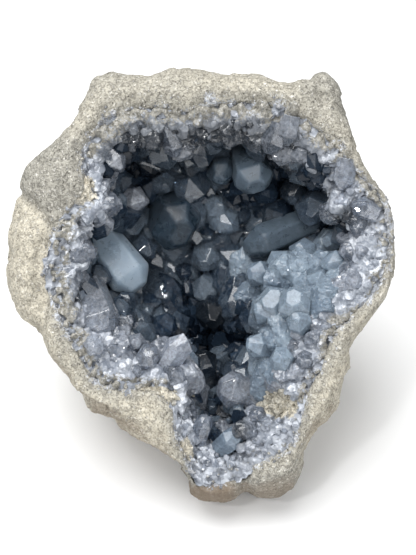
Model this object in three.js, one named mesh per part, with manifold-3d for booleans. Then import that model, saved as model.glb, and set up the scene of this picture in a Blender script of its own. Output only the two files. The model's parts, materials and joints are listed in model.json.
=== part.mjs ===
// A celestite geode: a knobbly nodule of pale limestone, broken open across one side, with a deep
// hollow that is lined by a crust of blue celestite crystals. It leans back on a small flat spot.
//
// Millimetres, +Z up. The geode is worked out in the frame of its broken face: x runs across the
// face, y up it, and z straight out of the hollow. The last step leans that frame back.

import * as THREE from "three";
import { ConvexGeometry } from "three/addons/geometries/ConvexGeometry.js";
import { mergeVertices } from "three/addons/utils/BufferGeometryUtils.js";
import Module from "manifold-3d";

const wasm = await Module();
wasm.setup();

// ---------------------------------------------------------------- driving dimensions

const LEAN_BACK = 45; // degrees between the broken face and the upright
const FLAT_SPOT_CUT = 15; // height of the rounded underside that the flat spot takes off

const BACK_DEPTH = 144; // from the broken face to the back of the nodule
const BACK_SAG = 24; // how far the middle of the back lies below the middle of the face
const WALL_DEPTH = 110; // from the broken face to the limestone at the bottom of the hollow
const BED_DEPTH = 84; // from the broken face to the crystal bed at the bottom of the hollow
const RIM_RECESS = 5; // how far the crust starts below the crest of the limestone rim
const WIDEST_AT = 26; // depth below the crest at which the nodule is widest
const BACK_WIDTH = 118; // half width and half height of the rounded back
const BACK_HEIGHT = 122;
const CRUST_GAP = 0.3; // between the crust and the limestone that it grew on

const COLUMNS = 76; // facets round the nodule
const BED_PITCH = 8.4; // between the corners of the crystal bed, three to each of its tips
const BED_ROWS = 15; // from the mouth to the bottom of the hollow
const FRONT_CAP = 70; // how far the tools that cut the crust reach in front of the face

// The nodule seen square on to the broken face, clockwise from its top left corner.
const NODULE_OUTLINE = [
  [-74, 114], [-71, 126], [-59, 131], [-48, 130], [-41, 127], [-28, 129], [-16, 132], [4, 131],
  [16, 129], [26, 131], [37, 129], [43, 124], [54, 123], [64, 129], [73, 131], [79, 125],
  [83, 111], [88, 96], [91, 83], [99, 69], [107, 58], [113, 44], [115, 29], [117, 17],
  [113, 3], [108, -9], [95, -25], [87, -39], [88, -50], [84, -60], [84, -69], [79, -80],
  [68, -92], [61, -107], [60, -119], [52, -129], [40, -134], [27, -132], [15, -136], [4, -134],
  [-7, -132], [-13, -125], [-17, -112], [-28, -106], [-39, -97], [-56, -84], [-73, -77], [-78, -65],
  [-86, -50], [-95, -41], [-102, -27], [-112, -22], [-120, -10], [-125, 6], [-122, 20], [-124, 30],
  [-119, 45], [-117, 60], [-111, 73], [-97, 83], [-85, 92], [-77, 103],
];

// Where the limestone meets the crust on the broken face, seen and listed in the same way.
const MOUTH_OUTLINE = [
  [-64, 93], [-54, 102], [-41, 106], [-28, 107], [-10, 104], [8, 109], [30, 109], [47, 106],
  [59, 100], [75, 86], [92, 66], [101, 57], [107, 46], [109, 32], [108, 14], [101, -2],
  [90, -14], [78, -25], [71, -39], [67, -52], [59, -64], [57, -78], [53, -91], [44, -101],
  [30, -106], [17, -116], [4, -120], [-6, -115], [-12, -103], [-18, -87], [-20, -72], [-27, -63],
  [-44, -61], [-64, -56], [-76, -40], [-85, -20], [-92, -4], [-94, 12], [-89, 29], [-80, 46],
  [-71, 60], [-74, 76],
];

// The limestone rim from the crust out to the widest line: [share of the way out, height].
const RIM_PROFILE = [[0.24, -2.5], [0.44, 0], [0.72, -5], [0.91, -13], [1, -WIDEST_AT]];

// Walls of the hollow from the mouth to its bottom: [share of the way in, share of the depth].
const WALL_PROFILE = [
  [0, 0], [0.01, 0.16], [0.03, 0.34], [0.09, 0.56],
  [0.24, 0.8], [0.55, 0.96], [1, 1],
];
const BED_PROFILE_TOP = [
  [0, 0], [0.1, 0.05], [0.19, 0.14], [0.21, 0.26], [0.18, 0.42],
  [0.22, 0.64], [0.42, 0.87], [0.7, 0.97], [1, 1],
];
const BED_PROFILE_FOOT = [
  [0, 0], [0.1, 0.06], [0.21, 0.15], [0.29, 0.27], [0.36, 0.46],
  [0.45, 0.67], [0.6, 0.86], [0.8, 0.96], [1, 1],
];

// Banks and pits of the crystal bed: centre on the face, reach across and up, rise towards the face.
const BANKS = [
  { at: [53, 0], reach: [34, 26], rise: 44 },
  { at: [36, -50], reach: [20, 22], rise: 16 },
  { at: [-42, -40], reach: [26, 18], rise: 12 },
  { at: [-8, 44], reach: [34, 18], rise: 14 },
  { at: [4, -34], reach: [20, 13], rise: -15 },
];

// The largest crystals: foot and tip on the face, rise of the tip above the foot, width and
// thickness of the prism, its turn about its own axis in degrees, and how blunt its end is.
const LARGE_CRYSTALS = [
  { foot: [-73, 32], tip: [-46, 0], rise: 7, width: 25, thickness: 15, turn: 30, blunt: 0.75 },
  { foot: [-69, -4], tip: [-63, -29], rise: 20, width: 22, thickness: 18, turn: 20, blunt: 0.5 },
  { foot: [-63, 58], tip: [-39, 56], rise: 6, width: 14, thickness: 9, turn: 75, blunt: 0.3 },
  { foot: [22, 84], tip: [23, 66], rise: 30, width: 29, thickness: 23, turn: 5, blunt: 0.2 },
  { foot: [48, 94], tip: [45, 77], rise: -2, width: 28, thickness: 16, turn: 80, blunt: 0.2 },
  { foot: [-25, 52], tip: [-23, 39], rise: 30, width: 30, thickness: 23, turn: 65, blunt: 0.7 },
  { foot: [60, 38], tip: [27, 23], rise: 18, width: 26, thickness: 18, turn: 35, blunt: 0.5 },
  { foot: [72, 66], tip: [70, 46], rise: 4, width: 27, thickness: 20, turn: 70, blunt: 0.6 },
  { foot: [86, 72], tip: [81, 55], rise: 2, width: 16, thickness: 12, turn: 15, blunt: 0.2 },
  { foot: [100, 42], tip: [85, 48], rise: 5, width: 17, thickness: 12, turn: 60, blunt: 0.3 },
  { foot: [84, 30], tip: [75, 28], rise: 14, width: 16, thickness: 12, turn: 25, blunt: 0.6 },
  { foot: [37, 8], tip: [27, 8], rise: 12, width: 15, thickness: 13, turn: 10, blunt: 0.4 },
  { foot: [44, 6], tip: [43, -3], rise: 15, width: 16, thickness: 12, turn: 50, blunt: 0.9 },
  { foot: [56, 4], tip: [54, -5], rise: 14, width: 16, thickness: 12, turn: 85, blunt: 0.9 },
  { foot: [62, 20], tip: [58, 24], rise: 13, width: 17, thickness: 13, turn: 30, blunt: 0.4 },
  { foot: [87, 13], tip: [72, 14], rise: 11, width: 17, thickness: 13, turn: 70, blunt: 0.5 },
  { foot: [41, -17], tip: [30, -13], rise: 12, width: 14, thickness: 11, turn: 15, blunt: 0.3 },
  { foot: [58, -23], tip: [53, -17], rise: 12, width: 14, thickness: 11, turn: 45, blunt: 0.4 },
  { foot: [-24, -48], tip: [-12, -29], rise: 14, width: 18, thickness: 13, turn: 20, blunt: 0 },
  { foot: [-35, -44], tip: [-34, -39], rise: 15, width: 16, thickness: 13, turn: 60, blunt: 0.6 },
  { foot: [1, -62], tip: [-3, -41], rise: 14, width: 20, thickness: 13, turn: 85, blunt: 0.5 },
  { foot: [19, -62], tip: [15, -47], rise: 12, width: 14, thickness: 11, turn: 40, blunt: 0.4 },
  { foot: [31, -66], tip: [9, -63], rise: 9, width: 19, thickness: 11, turn: 80, blunt: 0.6 },
  { foot: [-4, -74], tip: [-2, -59], rise: 9, width: 11, thickness: 7, turn: 15, blunt: 0 },
  { foot: [-5, -80], tip: [8, -78], rise: 9, width: 14, thickness: 11, turn: 65, blunt: 0.4 },
  { foot: [7, -103], tip: [17, -93], rise: 12, width: 17, thickness: 13, turn: 35, blunt: 0.2 },
  { foot: [4, -6], tip: [4, -24], rise: 22, width: 21, thickness: 18, turn: 50, blunt: 0.6 },
  { foot: [0, 25], tip: [-1, 13], rise: 17, width: 19, thickness: 15, turn: 10, blunt: 0.6 },
  { foot: [-46, 34], tip: [-34, 19], rise: 12, width: 15, thickness: 12, turn: 45, blunt: 0.4 },
  { foot: [-18, 90], tip: [-13, 72], rise: 1, width: 18, thickness: 14, turn: 75, blunt: 0.5 },
  { foot: [-30, 70], tip: [-25, 62], rise: 16, width: 16, thickness: 13, turn: 25, blunt: 0.4 },
  { foot: [38, -38], tip: [25, -34], rise: 11, width: 15, thickness: 12, turn: 5, blunt: 0.3 },
  { foot: [-36, 2], tip: [-23, -8], rise: 15, width: 17, thickness: 14, turn: 55, blunt: 0.5 },
];
const LARGE_CRYSTAL_ROOT = 9; // length of a large crystal that is sunk in the bed
const BED_TIP_HEIGHT = 8; // the tips of the small crystals that make up the bed itself
const MEDIUM_CRYSTALS = 30; // how many fill the bed between the large ones
const MEDIUM_CRYSTAL_WIDTH = [11, 17]; // at the mouth and at the bottom of the hollow
const MEDIUM_CRYSTAL_SEED = 11;

// Creases in the limestone of the broken face: the line on the face, its depth and half width.
const CREASES = [
  { line: [[-119, 60], [-101, 42], [-99, 5], [-103, -26]], depth: 7, width: 7 },
  { line: [[66, 116], [76, 104]], depth: 5, width: 6 },
];

// ---------------------------------------------------------------- noise and random numbers

// A repeatable stream of numbers from 0 to 1.
function randomStream(seed) {
  let state = seed >>> 0;
  return () => {
    state = (state + 0x6d2b79f5) >>> 0;
    let t = Math.imul(state ^ (state >>> 15), 1 | state);
    t = (t + Math.imul(t ^ (t >>> 7), 61 | t)) ^ t;
    return ((t ^ (t >>> 14)) >>> 0) / 2 ** 32;
  };
}

// A repeatable number from -1 to 1 for a corner of the noise lattice.
function latticeValue(i, j, k) {
  const mixed = Math.sin(i * 127.1 + j * 311.7 + k * 74.7) * 43758.5453;
  return 2 * (mixed - Math.floor(mixed)) - 1;
}

// Smooth noise from -1 to 1 whose lumps are one unit apart.
function smoothNoise(x, y, z) {
  const corner = [Math.floor(x), Math.floor(y), Math.floor(z)];
  const [u, v, w] = [x - corner[0], y - corner[1], z - corner[2]].map((t) => t * t * (3 - 2 * t));
  let sum = 0;
  for (let n = 0; n < 8; n++) {
    const [a, b, c] = [n & 1, (n >> 1) & 1, (n >> 2) & 1];
    const weight = (a ? u : 1 - u) * (b ? v : 1 - v) * (c ? w : 1 - w);
    sum += weight * latticeValue(corner[0] + a, corner[1] + b, corner[2] + c);
  }
  return sum;
}

const lumps = (p, size) => smoothNoise(p.x / size + 3.7, p.y / size + 9.2, p.z / size + 5.1);

// ---------------------------------------------------------------- outlines and profiles

// A closed outline as a function that gives its distance from the middle in any direction.
function outlineRadius(points) {
  const curve = new THREE.CatmullRomCurve3(points.map(([x, y]) => new THREE.Vector3(x, y, 0)), true);
  const fine = curve.getPoints(points.length * 8).map((p) => [Math.atan2(p.y, p.x), Math.hypot(p.x, p.y)]);
  fine.sort((p, q) => p[0] - q[0]);
  return (angle) => {
    const wanted = Math.atan2(Math.sin(angle), Math.cos(angle));
    const after = fine.findIndex(([direction]) => direction >= wanted);
    if (after <= 0) return fine[0][1];
    const [before, next] = [fine[after - 1], fine[after]];
    return THREE.MathUtils.mapLinear(wanted, before[0], next[0], before[1], next[1]);
  };
}

const noduleRadius = outlineRadius(NODULE_OUTLINE);
const mouthRadius = outlineRadius(MOUTH_OUTLINE);

const profileCurve = (points) => new THREE.SplineCurve(points.map(([a, b]) => new THREE.Vector2(a, b)));
const wallProfile = profileCurve(WALL_PROFILE);
const bedProfileTop = profileCurve(BED_PROFILE_TOP);
const bedProfileFoot = profileCurve(BED_PROFILE_FOOT);

// Height of the rim's crest: the foot of the nodule curls away, and the corners dip and rise.
function crestHeight(x, y) {
  const curl = 0.0034 * Math.min(0, y + 58) ** 2;
  const sides = 0.0011 * Math.max(0, Math.abs(x) - 60) ** 2;
  return -curl - sides + 3.5 * lumps(new THREE.Vector3(x, y, 0), 46);
}

// How far the creases sink the limestone at a point of the face.
function creaseDepth(x, y) {
  const at = new THREE.Vector3(x, y, 0);
  const nearest = new THREE.Vector3();
  let depth = 0;
  for (const { line, depth: deepest, width } of CREASES) {
    const corners = line.map(([a, b]) => new THREE.Vector3(a, b, 0));
    for (let n = 0; n + 1 < corners.length; n++) {
      new THREE.Line3(corners[n], corners[n + 1]).closestPointToPoint(at, true, nearest);
      depth = Math.max(depth, deepest * Math.exp(-((at.distanceTo(nearest) / width) ** 2)));
    }
  }
  return depth;
}

const polar = (angle, radius, z) => new THREE.Vector3(radius * Math.cos(angle), radius * Math.sin(angle), z);

// ---------------------------------------------------------------- surfaces

// Broken rock: broad knobs, smaller lumps and a few ledges that step round the nodule.
function roughen(point, strength = 1) {
  const away = new THREE.Vector3(point.x, point.y, (point.z + 50) * 1.1).normalize();
  const knobs = 4.4 * lumps(point, 44);
  const small = 2.2 * lumps(point, 19);
  const ledges = 1.8 * Math.tanh(4 * lumps(point.clone().multiply(new THREE.Vector3(0.6, 1.7, 1.2)), 30));
  return point.clone().addScaledVector(away, strength * (knobs + small + ledges));
}

function mouthPoint(angle) {
  const edge = polar(angle, mouthRadius(angle), 0);
  edge.z = crestHeight(edge.x, edge.y) - RIM_RECESS;
  return edge;
}

// A ring of the limestone rim, from the crust (share 0) to the nodule's widest line (share 1).
function rimPoint(angle, [share, height]) {
  const radius = THREE.MathUtils.lerp(mouthRadius(angle), noduleRadius(angle), share);
  const point = polar(angle, radius, 0);
  point.z = crestHeight(point.x, point.y) + height - creaseDepth(point.x, point.y);
  return roughen(point, 0.45 * Math.sin((Math.PI / 2) * share));
}

// A ring of the nodule's back: turn 0 is the widest line and turn 1 the middle of the back.
function backPoint(angle, turn) {
  const sweep = (turn * Math.PI) / 2;
  const [across, along] = [BACK_WIDTH * Math.sin(angle), BACK_HEIGHT * Math.cos(angle)];
  const oval = (BACK_WIDTH * BACK_HEIGHT) / Math.hypot(along, across);
  const rounded = THREE.MathUtils.smoothstep(turn, 0, 0.7);
  const radius = THREE.MathUtils.lerp(noduleRadius(angle), oval, rounded);
  const point = polar(angle, radius * Math.cos(sweep) ** 0.85, 0);
  const start = crestHeight(point.x, point.y) * (1 - turn) - WIDEST_AT;
  point.z = start - (BACK_DEPTH - WIDEST_AT) * Math.sin(sweep) ** 1.1;
  point.y -= BACK_SAG * Math.sin(sweep) ** 2;
  return roughen(point, THREE.MathUtils.lerp(0.45, 1, Math.min(1, turn * 3)));
}

// A ring of the hollow's limestone wall, moved into the hollow by an inset.
function wallPoint(angle, share, inset = 0) {
  const { x: inward, y: depth } = wallProfile.getPoint(share);
  const edge = mouthPoint(angle);
  const radius = mouthRadius(angle) * (1 - inward) - inset * (1 - inward);
  return polar(angle, radius, edge.z * (1 - depth) - (WALL_DEPTH - inset) * depth);
}

// The lumpy bed that the crystals stand on: share 0 is the mouth and share 1 the bottom.
function bedFloor(angle, share) {
  const low = THREE.MathUtils.smoothstep(-Math.sin(angle), -0.35, 0.5);
  const profile = bedProfileTop.getPointAt(share).lerp(bedProfileFoot.getPointAt(share), low);
  const point = polar(angle, mouthRadius(angle) * (1 - profile.x), 0);
  point.z = mouthPoint(angle).z * (1 - profile.y) - BED_DEPTH * profile.y;
  const settled = THREE.MathUtils.smoothstep(share, 0.05, 0.5);
  for (const { at, reach, rise } of BANKS) {
    const far = ((point.x - at[0]) / reach[0]) ** 2 + ((point.y - at[1]) / reach[1]) ** 2;
    point.z += settled * rise * Math.exp(-far);
  }
  point.z += 3 * settled * lumps(point, 15);
  return point;
}

// A ring of the bed with its small crystals: one corner in three stands up as the tip of a six-sided
// pyramid that leans into the hollow, and the corners between the tips stay low.
function bedRing(row, tipHeight) {
  const radius = 92 * (1 - bedProfileTop.getPointAt(row / BED_ROWS).x);
  const columns = 3 * Math.round((2 * Math.PI * radius) / BED_PITCH / 3);
  return ring(columns, (angle, column) => {
    const uneven = smoothNoise(column * 1.7, row * 2.3, 4.5);
    const point = bedFloor(angle + (0.35 * uneven * 2 * Math.PI) / columns, row / BED_ROWS);
    const facing = new THREE.Vector3(-0.8 * point.x, -0.4 * point.y, 40 - point.z).normalize();
    const height = (column + row) % 3 === 0 ? 0.85 + 0.5 * uneven : 0.12 * uneven;
    return point.addScaledVector(facing, tipHeight * height);
  });
}

// ---------------------------------------------------------------- solids

// A closed geometry from rings of points, with one point at each end. Rings may differ in length.
function ringsGeometry(firstPoint, rings, lastPoint) {
  const points = [firstPoint, ...rings.flat(), lastPoint];
  const faces = [];
  let start = 1;
  rings[0].forEach((_, c) => faces.push(0, 1 + c, 1 + ((c + 1) % rings[0].length)));
  for (let r = 0; r + 1 < rings.length; r++) {
    const [near, far] = [rings[r].length, rings[r + 1].length];
    const nearAt = (n) => start + (n % near);
    const farAt = (n) => start + near + (n % far);
    let [i, j] = [0, 0];
    while (i < near || j < far) {
      const alongFar = (j + 1) * near <= (i + 1) * far;
      faces.push(nearAt(i), farAt(j), alongFar ? farAt(j + 1) : nearAt(i + 1));
      if (alongFar) j += 1;
      else i += 1;
    }
    start += near;
  }
  const last = rings.at(-1).length;
  rings.at(-1).forEach((_, c) => faces.push(start + c, points.length - 1, start + ((c + 1) % last)));
  return new THREE.BufferGeometry().setFromPoints(points).setIndex(faces);
}

const listOf = (length, make) => Array.from({ length }, (_, n) => make(n));
const ring = (columns, pointAt) => listOf(columns, (c) => pointAt((2 * Math.PI * c) / columns, c));
const ringOf = (pointAt) => ring(COLUMNS, pointAt);

function solidOf(geometry) {
  const bare = geometry.clone();
  bare.deleteAttribute("normal");
  bare.deleteAttribute("uv");
  const merged = mergeVertices(bare, 1e-4);
  return new wasm.Manifold(
    new wasm.Mesh({
      numProp: 3,
      vertProperties: merged.getAttribute("position").array,
      triVerts: new Uint32Array(merged.index.array),
    }),
  );
}

function geometryOf(solid) {
  const { vertProperties, triVerts } = solid.getMesh();
  const shape = new THREE.BufferGeometry()
    .setAttribute("position", new THREE.BufferAttribute(vertProperties, 3))
    .setIndex(new THREE.BufferAttribute(triVerts, 1));
  return shape;
}

const WALL_RINGS = listOf(5, (n) => (n + 1) / 6);
const BACK_RINGS = [...listOf(7, (n) => (n + 1) / 8), 0.95];

// The broken nodule with its empty hollow, not yet flattened underneath.
function noduleSolid() {
  const wallBottom = new THREE.Vector3(0, 0, -WALL_DEPTH);
  const wall = [...WALL_RINGS.toReversed(), 0].map((share) => ringOf((angle) => wallPoint(angle, share)));
  const rim = RIM_PROFILE.map((step) => ringOf((angle) => rimPoint(angle, step)));
  const back = BACK_RINGS.map((turn) => ringOf((angle) => backPoint(angle, turn)));
  const backMiddle = roughen(new THREE.Vector3(0, -BACK_SAG, -BACK_DEPTH));
  return solidOf(ringsGeometry(wallBottom, [...wall, ...rim, ...back], backMiddle));
}

// The space that the crust may fill: the hollow, less the gap, carried on in front of the face.
function crustSpace() {
  const wall = [0, ...WALL_RINGS].map((share) => ringOf((angle) => wallPoint(angle, share, CRUST_GAP)));
  const front = wall[0].map((p) => new THREE.Vector3(p.x, p.y, FRONT_CAP));
  const bottom = new THREE.Vector3(0, 0, CRUST_GAP - WALL_DEPTH);
  return solidOf(ringsGeometry(new THREE.Vector3(0, 0, FRONT_CAP), [front, ...wall], bottom));
}

// The open space inside the bed, also carried on in front and a little past the mouth.
function openSpace(tipHeight) {
  const overMouth = (z) => ringOf((angle) => polar(angle, mouthRadius(angle) + 3, z(angle)));
  const front = overMouth(() => FRONT_CAP + 10);
  const mouth = overMouth((angle) => mouthPoint(angle).z);
  const top = new THREE.Vector3(0, 0, FRONT_CAP + 10);
  const bed = listOf(BED_ROWS - 1, (n) => bedRing(n + 1, tipHeight));
  return ringsGeometry(top, [front, mouth, ...bed], bedFloor(0, 1));
}

// ---------------------------------------------------------------- crystals

// One celestite crystal along +z: a flattened six-sided prism whose end is a roof of two large
// faces, cut by two smaller ones. A blunt end has a flat top in place of the ridge.
function crystalGeometry({ width, thickness, length, root, blunt }) {
  const [a, b] = [width / 2, thickness / 2];
  const corners = [[a, 0], [0.6 * a, b], [-0.6 * a, b], [-a, 0], [-0.6 * a, -b], [0.6 * a, -b]];
  const roofFall = 0.85 - 0.35 * blunt;
  const shoulder = (x, y) => length - roofFall * Math.abs(x) - 0.4 * Math.abs(y);
  const [ridge, edge] = [0.35 * a * blunt, 0.45 * b];
  const top = [[ridge, edge], [ridge, -edge], [-ridge, edge], [-ridge, -edge]];
  return new ConvexGeometry([
    ...corners.map(([x, y]) => new THREE.Vector3(0.85 * x, 0.85 * y, -root)),
    ...corners.map(([x, y]) => new THREE.Vector3(x, y, Math.max(0.1 * length, shoulder(x, y)))),
    ...top.map(([x, y]) => new THREE.Vector3(x, y, length)),
  ]);
}

// A crystal that stands on a foot, points along an axis and is turned about it.
function standingCrystal(foot, axis, turn, shape) {
  const pose = new THREE.Quaternion()
    .setFromUnitVectors(new THREE.Vector3(0, 0, 1), axis.clone().normalize())
    .multiply(new THREE.Quaternion().setFromAxisAngle(new THREE.Vector3(0, 0, 1), turn));
  const geometry = crystalGeometry(shape).applyQuaternion(pose);
  return solidOf(geometry.translate(foot.x, foot.y, foot.z));
}

// Where the bed lies under a point of the face, its small tips left out.
function bedHeights(bedGeometry) {
  const bed = new THREE.Mesh(bedGeometry, new THREE.MeshBasicMaterial({ side: THREE.DoubleSide }));
  const down = new THREE.Vector3(0, 0, -1);
  return (x, y) => {
    const hits = new THREE.Raycaster(new THREE.Vector3(x, y, FRONT_CAP), down).intersectObject(bed);
    return new THREE.Vector3(x, y, hits.length ? hits[0].point.z : mouthPoint(Math.atan2(y, x)).z);
  };
}

function largeCrystals(onBed) {
  return LARGE_CRYSTALS.map(({ foot, tip, rise, width, thickness, turn, blunt }) => {
    const base = onBed(...foot);
    const axis = new THREE.Vector3(tip[0] - foot[0], tip[1] - foot[1], rise);
    const shape = { width, thickness, blunt, length: axis.length(), root: LARGE_CRYSTAL_ROOT };
    return standingCrystal(base, axis, THREE.MathUtils.degToRad(turn), shape);
  });
}

// Crystals that fill the bed between the large ones, smallest at the mouth.
function mediumCrystals(onBed) {
  const random = randomStream(MEDIUM_CRYSTAL_SEED);
  const taken = LARGE_CRYSTALS.map(({ foot, tip, width }) => ({
    at: new THREE.Vector2((foot[0] + tip[0]) / 2, (foot[1] + tip[1]) / 2),
    room: 0.55 * width,
  }));
  const made = [];
  for (let n = 0; n < MEDIUM_CRYSTALS * 8 && made.length < MEDIUM_CRYSTALS; n++) {
    const angle = 2 * Math.PI * random();
    const reach = 0.86 * Math.sqrt(random());
    const at = new THREE.Vector2(Math.cos(angle), Math.sin(angle)).multiplyScalar(reach * mouthRadius(angle));
    const inside = THREE.MathUtils.smoothstep(1 - reach, 0, 0.45);
    const width = THREE.MathUtils.lerp(...MEDIUM_CRYSTAL_WIDTH, inside) * (0.75 + 0.5 * random());
    const lean = [random() - 0.5, random() - 0.5];
    const turn = Math.PI * random();
    const blunt = random();
    if (taken.some((other) => other.at.distanceTo(at) < other.room + 0.38 * width)) continue;
    taken.push({ at, room: 0.38 * width });
    const inwards = new THREE.Vector3(-at.x, -at.y, 0).multiplyScalar(0.011 * (1 - 0.4 * inside));
    const axis = inwards.add(new THREE.Vector3(0.9 * lean[0], 0.9 * lean[1], 1));
    const length = width * (0.85 + 0.4 * inside);
    const shape = { width, thickness: 0.78 * width, length, blunt, root: 0.55 * width };
    made.push(standingCrystal(onBed(at.x, at.y), axis, turn, shape));
  }
  return made;
}

// The whole crust fills what the limestone leaves, less the open space round its crystals. The
// crystals shut some small gaps off, and those stay filled.
function crustSolid() {
  const onBed = bedHeights(openSpace(0));
  const crystals = wasm.Manifold.union([...largeCrystals(onBed), ...mediumCrystals(onBed)]);
  const gaps = solidOf(openSpace(BED_TIP_HEIGHT)).subtract(crystals).decompose();
  const hollow = gaps.reduce((widest, gap) => (gap.volume() > widest.volume() ? gap : widest));
  return crustSpace().subtract(hollow);
}

// ---------------------------------------------------------------- the leaning specimen

const lean = new THREE.Matrix4().makeRotationX(THREE.MathUtils.degToRad(LEAN_BACK));
const leant = (solid) => solid.transform(lean.elements);

// Takes the lowest part off a leaning solid, which leaves the flat spot that it rests on.
function flattened(solid) {
  const lowest = solid.boundingBox().min[2];
  const under = new THREE.BoxGeometry(400, 400, 100).translate(0, 0, lowest + FLAT_SPOT_CUT - 50);
  return solid.subtract(solidOf(under));
}

const nodule = flattened(leant(noduleSolid()));
const crust = leant(crustSolid());

const mineral = (color, roughness) =>
  new THREE.MeshStandardMaterial({ color, roughness, metalness: 0, flatShading: true });
const limestone = mineral(0xb9b0a0, 0.95);
const celestite = mineral(0x8fa6bd, 0.2);

const geode = new THREE.Group();
for (const [name, solid, material] of [
  ["limestone_nodule", nodule, limestone],
  ["celestite_crust", crust, celestite],
]) {
  const mesh = new THREE.Mesh(geometryOf(solid), material);
  mesh.name = name;
  geode.add(mesh);
}

// The origin is the middle of the underside of the geode's box.
const { min, max } = nodule.boundingBox();
geode.position.set(-(min[0] + max[0]) / 2, -(min[1] + max[1]) / 2, -min[2]);

export default geode;
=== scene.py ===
"""Celestite geode: the rough limestone, the bed and the crystals of its hollow, on the geode's frame."""

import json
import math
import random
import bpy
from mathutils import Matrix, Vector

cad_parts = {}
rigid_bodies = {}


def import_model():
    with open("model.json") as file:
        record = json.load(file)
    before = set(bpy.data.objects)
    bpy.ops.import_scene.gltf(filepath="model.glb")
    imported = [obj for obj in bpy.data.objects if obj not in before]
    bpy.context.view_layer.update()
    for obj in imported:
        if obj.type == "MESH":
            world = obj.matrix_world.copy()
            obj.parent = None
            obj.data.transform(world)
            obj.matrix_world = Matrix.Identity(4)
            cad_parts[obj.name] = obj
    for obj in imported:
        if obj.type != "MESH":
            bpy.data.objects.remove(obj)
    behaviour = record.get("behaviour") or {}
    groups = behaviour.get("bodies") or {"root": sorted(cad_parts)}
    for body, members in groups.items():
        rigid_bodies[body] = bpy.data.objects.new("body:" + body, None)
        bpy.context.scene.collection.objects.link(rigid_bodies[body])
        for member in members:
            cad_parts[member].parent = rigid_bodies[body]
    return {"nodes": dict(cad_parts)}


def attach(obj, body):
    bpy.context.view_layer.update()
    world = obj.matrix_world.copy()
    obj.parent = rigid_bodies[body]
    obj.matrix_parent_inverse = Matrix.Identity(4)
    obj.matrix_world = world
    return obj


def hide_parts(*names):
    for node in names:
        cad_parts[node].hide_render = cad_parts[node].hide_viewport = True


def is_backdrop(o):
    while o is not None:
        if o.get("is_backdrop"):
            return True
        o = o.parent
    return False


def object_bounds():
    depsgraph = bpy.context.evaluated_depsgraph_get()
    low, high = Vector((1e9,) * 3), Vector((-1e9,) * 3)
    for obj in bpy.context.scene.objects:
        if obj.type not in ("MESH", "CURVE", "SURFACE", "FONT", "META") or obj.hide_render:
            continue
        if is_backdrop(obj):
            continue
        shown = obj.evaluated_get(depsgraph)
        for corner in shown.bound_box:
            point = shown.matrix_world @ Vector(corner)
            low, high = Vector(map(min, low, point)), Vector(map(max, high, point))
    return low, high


bl_info = {
    "name": "Celestite geode",
    "version": (1, 0, 0),
    "blender": (4, 5, 0),
    "location": "3D View > Sidebar > Geode",
    "description": "Finishes the limestone and the celestite crystals of a broken-open geode",
    "category": "Add Mesh",
}

import bmesh
import bpy
import numpy as np
from bpy.props import FloatProperty, FloatVectorProperty, IntProperty, PointerProperty
from mathutils import Matrix, Vector
from mathutils.bvhtree import BVHTree

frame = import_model()
CAD_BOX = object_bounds()

# ---- the geode's plan
# Millimetres on the axes of the broken face: x runs across it, y up it, z straight out of the hollow.

FACE_MIDDLE = Vector((0.00412, -0.02956, 0.13566))  # metres, in the geode's own frame
LEAN_BACK = math.radians(45)

WALL_DEPTH = 110
BED_DEPTH = 84
RIM_RECESS = 5

# Where the limestone meets the crystals.
MOUTH_OUTLINE = [
    (-64, 93), (-54, 102), (-41, 106), (-28, 107), (-10, 104), (8, 109), (30, 109), (47, 106),
    (59, 100), (75, 86), (92, 66), (101, 57), (107, 46), (109, 32), (108, 14), (101, -2),
    (90, -14), (78, -25), (71, -39), (67, -52), (59, -64), (57, -78), (53, -91), (44, -101),
    (30, -106), (17, -116), (4, -120), (-6, -115), (-12, -103), (-18, -87), (-20, -72), (-27, -63),
    (-44, -61), (-64, -56), (-76, -40), (-85, -20), (-92, -4), (-94, 12), (-89, 29), (-80, 46),
    (-71, 60), (-74, 76),
]

# Walls of the hollow from the mouth to its bottom: share of the way in, share of the depth.
WALL_PROFILE = [(0, 0), (0.01, 0.16), (0.03, 0.34), (0.09, 0.56), (0.24, 0.8), (0.55, 0.96), (1, 1)]
BED_PROFILE_TOP = [
    (0, 0), (0.085, 0.05), (0.15, 0.14), (0.17, 0.26), (0.155, 0.42),
    (0.21, 0.64), (0.42, 0.87), (0.7, 0.97), (1, 1),
]
BED_PROFILE_FOOT = [
    (0, 0), (0.1, 0.06), (0.21, 0.15), (0.29, 0.27), (0.36, 0.46),
    (0.45, 0.67), (0.6, 0.86), (0.8, 0.96), (1, 1),
]

# Banks and pits of the crystal bed: middle, reach across and up, rise towards the face.
BANKS = [
    ((53, 0), (34, 26), 44),
    ((36, -50), (20, 22), 16),
    ((-42, -40), (26, 18), 12),
    ((-8, 44), (34, 18), 14),
    ((4, -34), (19, 13), -20),
    ((13, -94), (8, 13), -40),
]

# Places where limestone shows among the crystals: middle, reach across and up.
MATRIX_PATCHES = [
    ((-28, -64), (24, 6)), ((43, -70), (15, 11)), ((-13, -100), (6, 10)), ((-34, 60), (5, 6)),
    ((47, 39), (5, 3)), ((-70, 24), (4, 4)), ((-73, 57), (8, 9)),
]
# Gaps between the crystals that are painted with shade: middle, reach across and up.
PAINTED_SHADE_GAPS = [
    ((7, -28), (31, 23)), ((-45, 76), (17, 10)), ((54, 66), (26, 10)), ((20, -88), (5, 12)),
    ((9, -77), (6, 8)), ((30, 52), (20, 7)), ((-24, 52), (9, 6)), ((84, 42), (8, 8)),
    ((-74, -8), (8, 12)),
]

# Banks that are covered with blue crystals, and with pale ones: middle, reach across and up.
BLUE_BANKS = [((63, -2), (37, 31)), ((48, -50), (16, 25))]
PALE_BANKS = [((-42, -45), (31, 15))]

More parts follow.
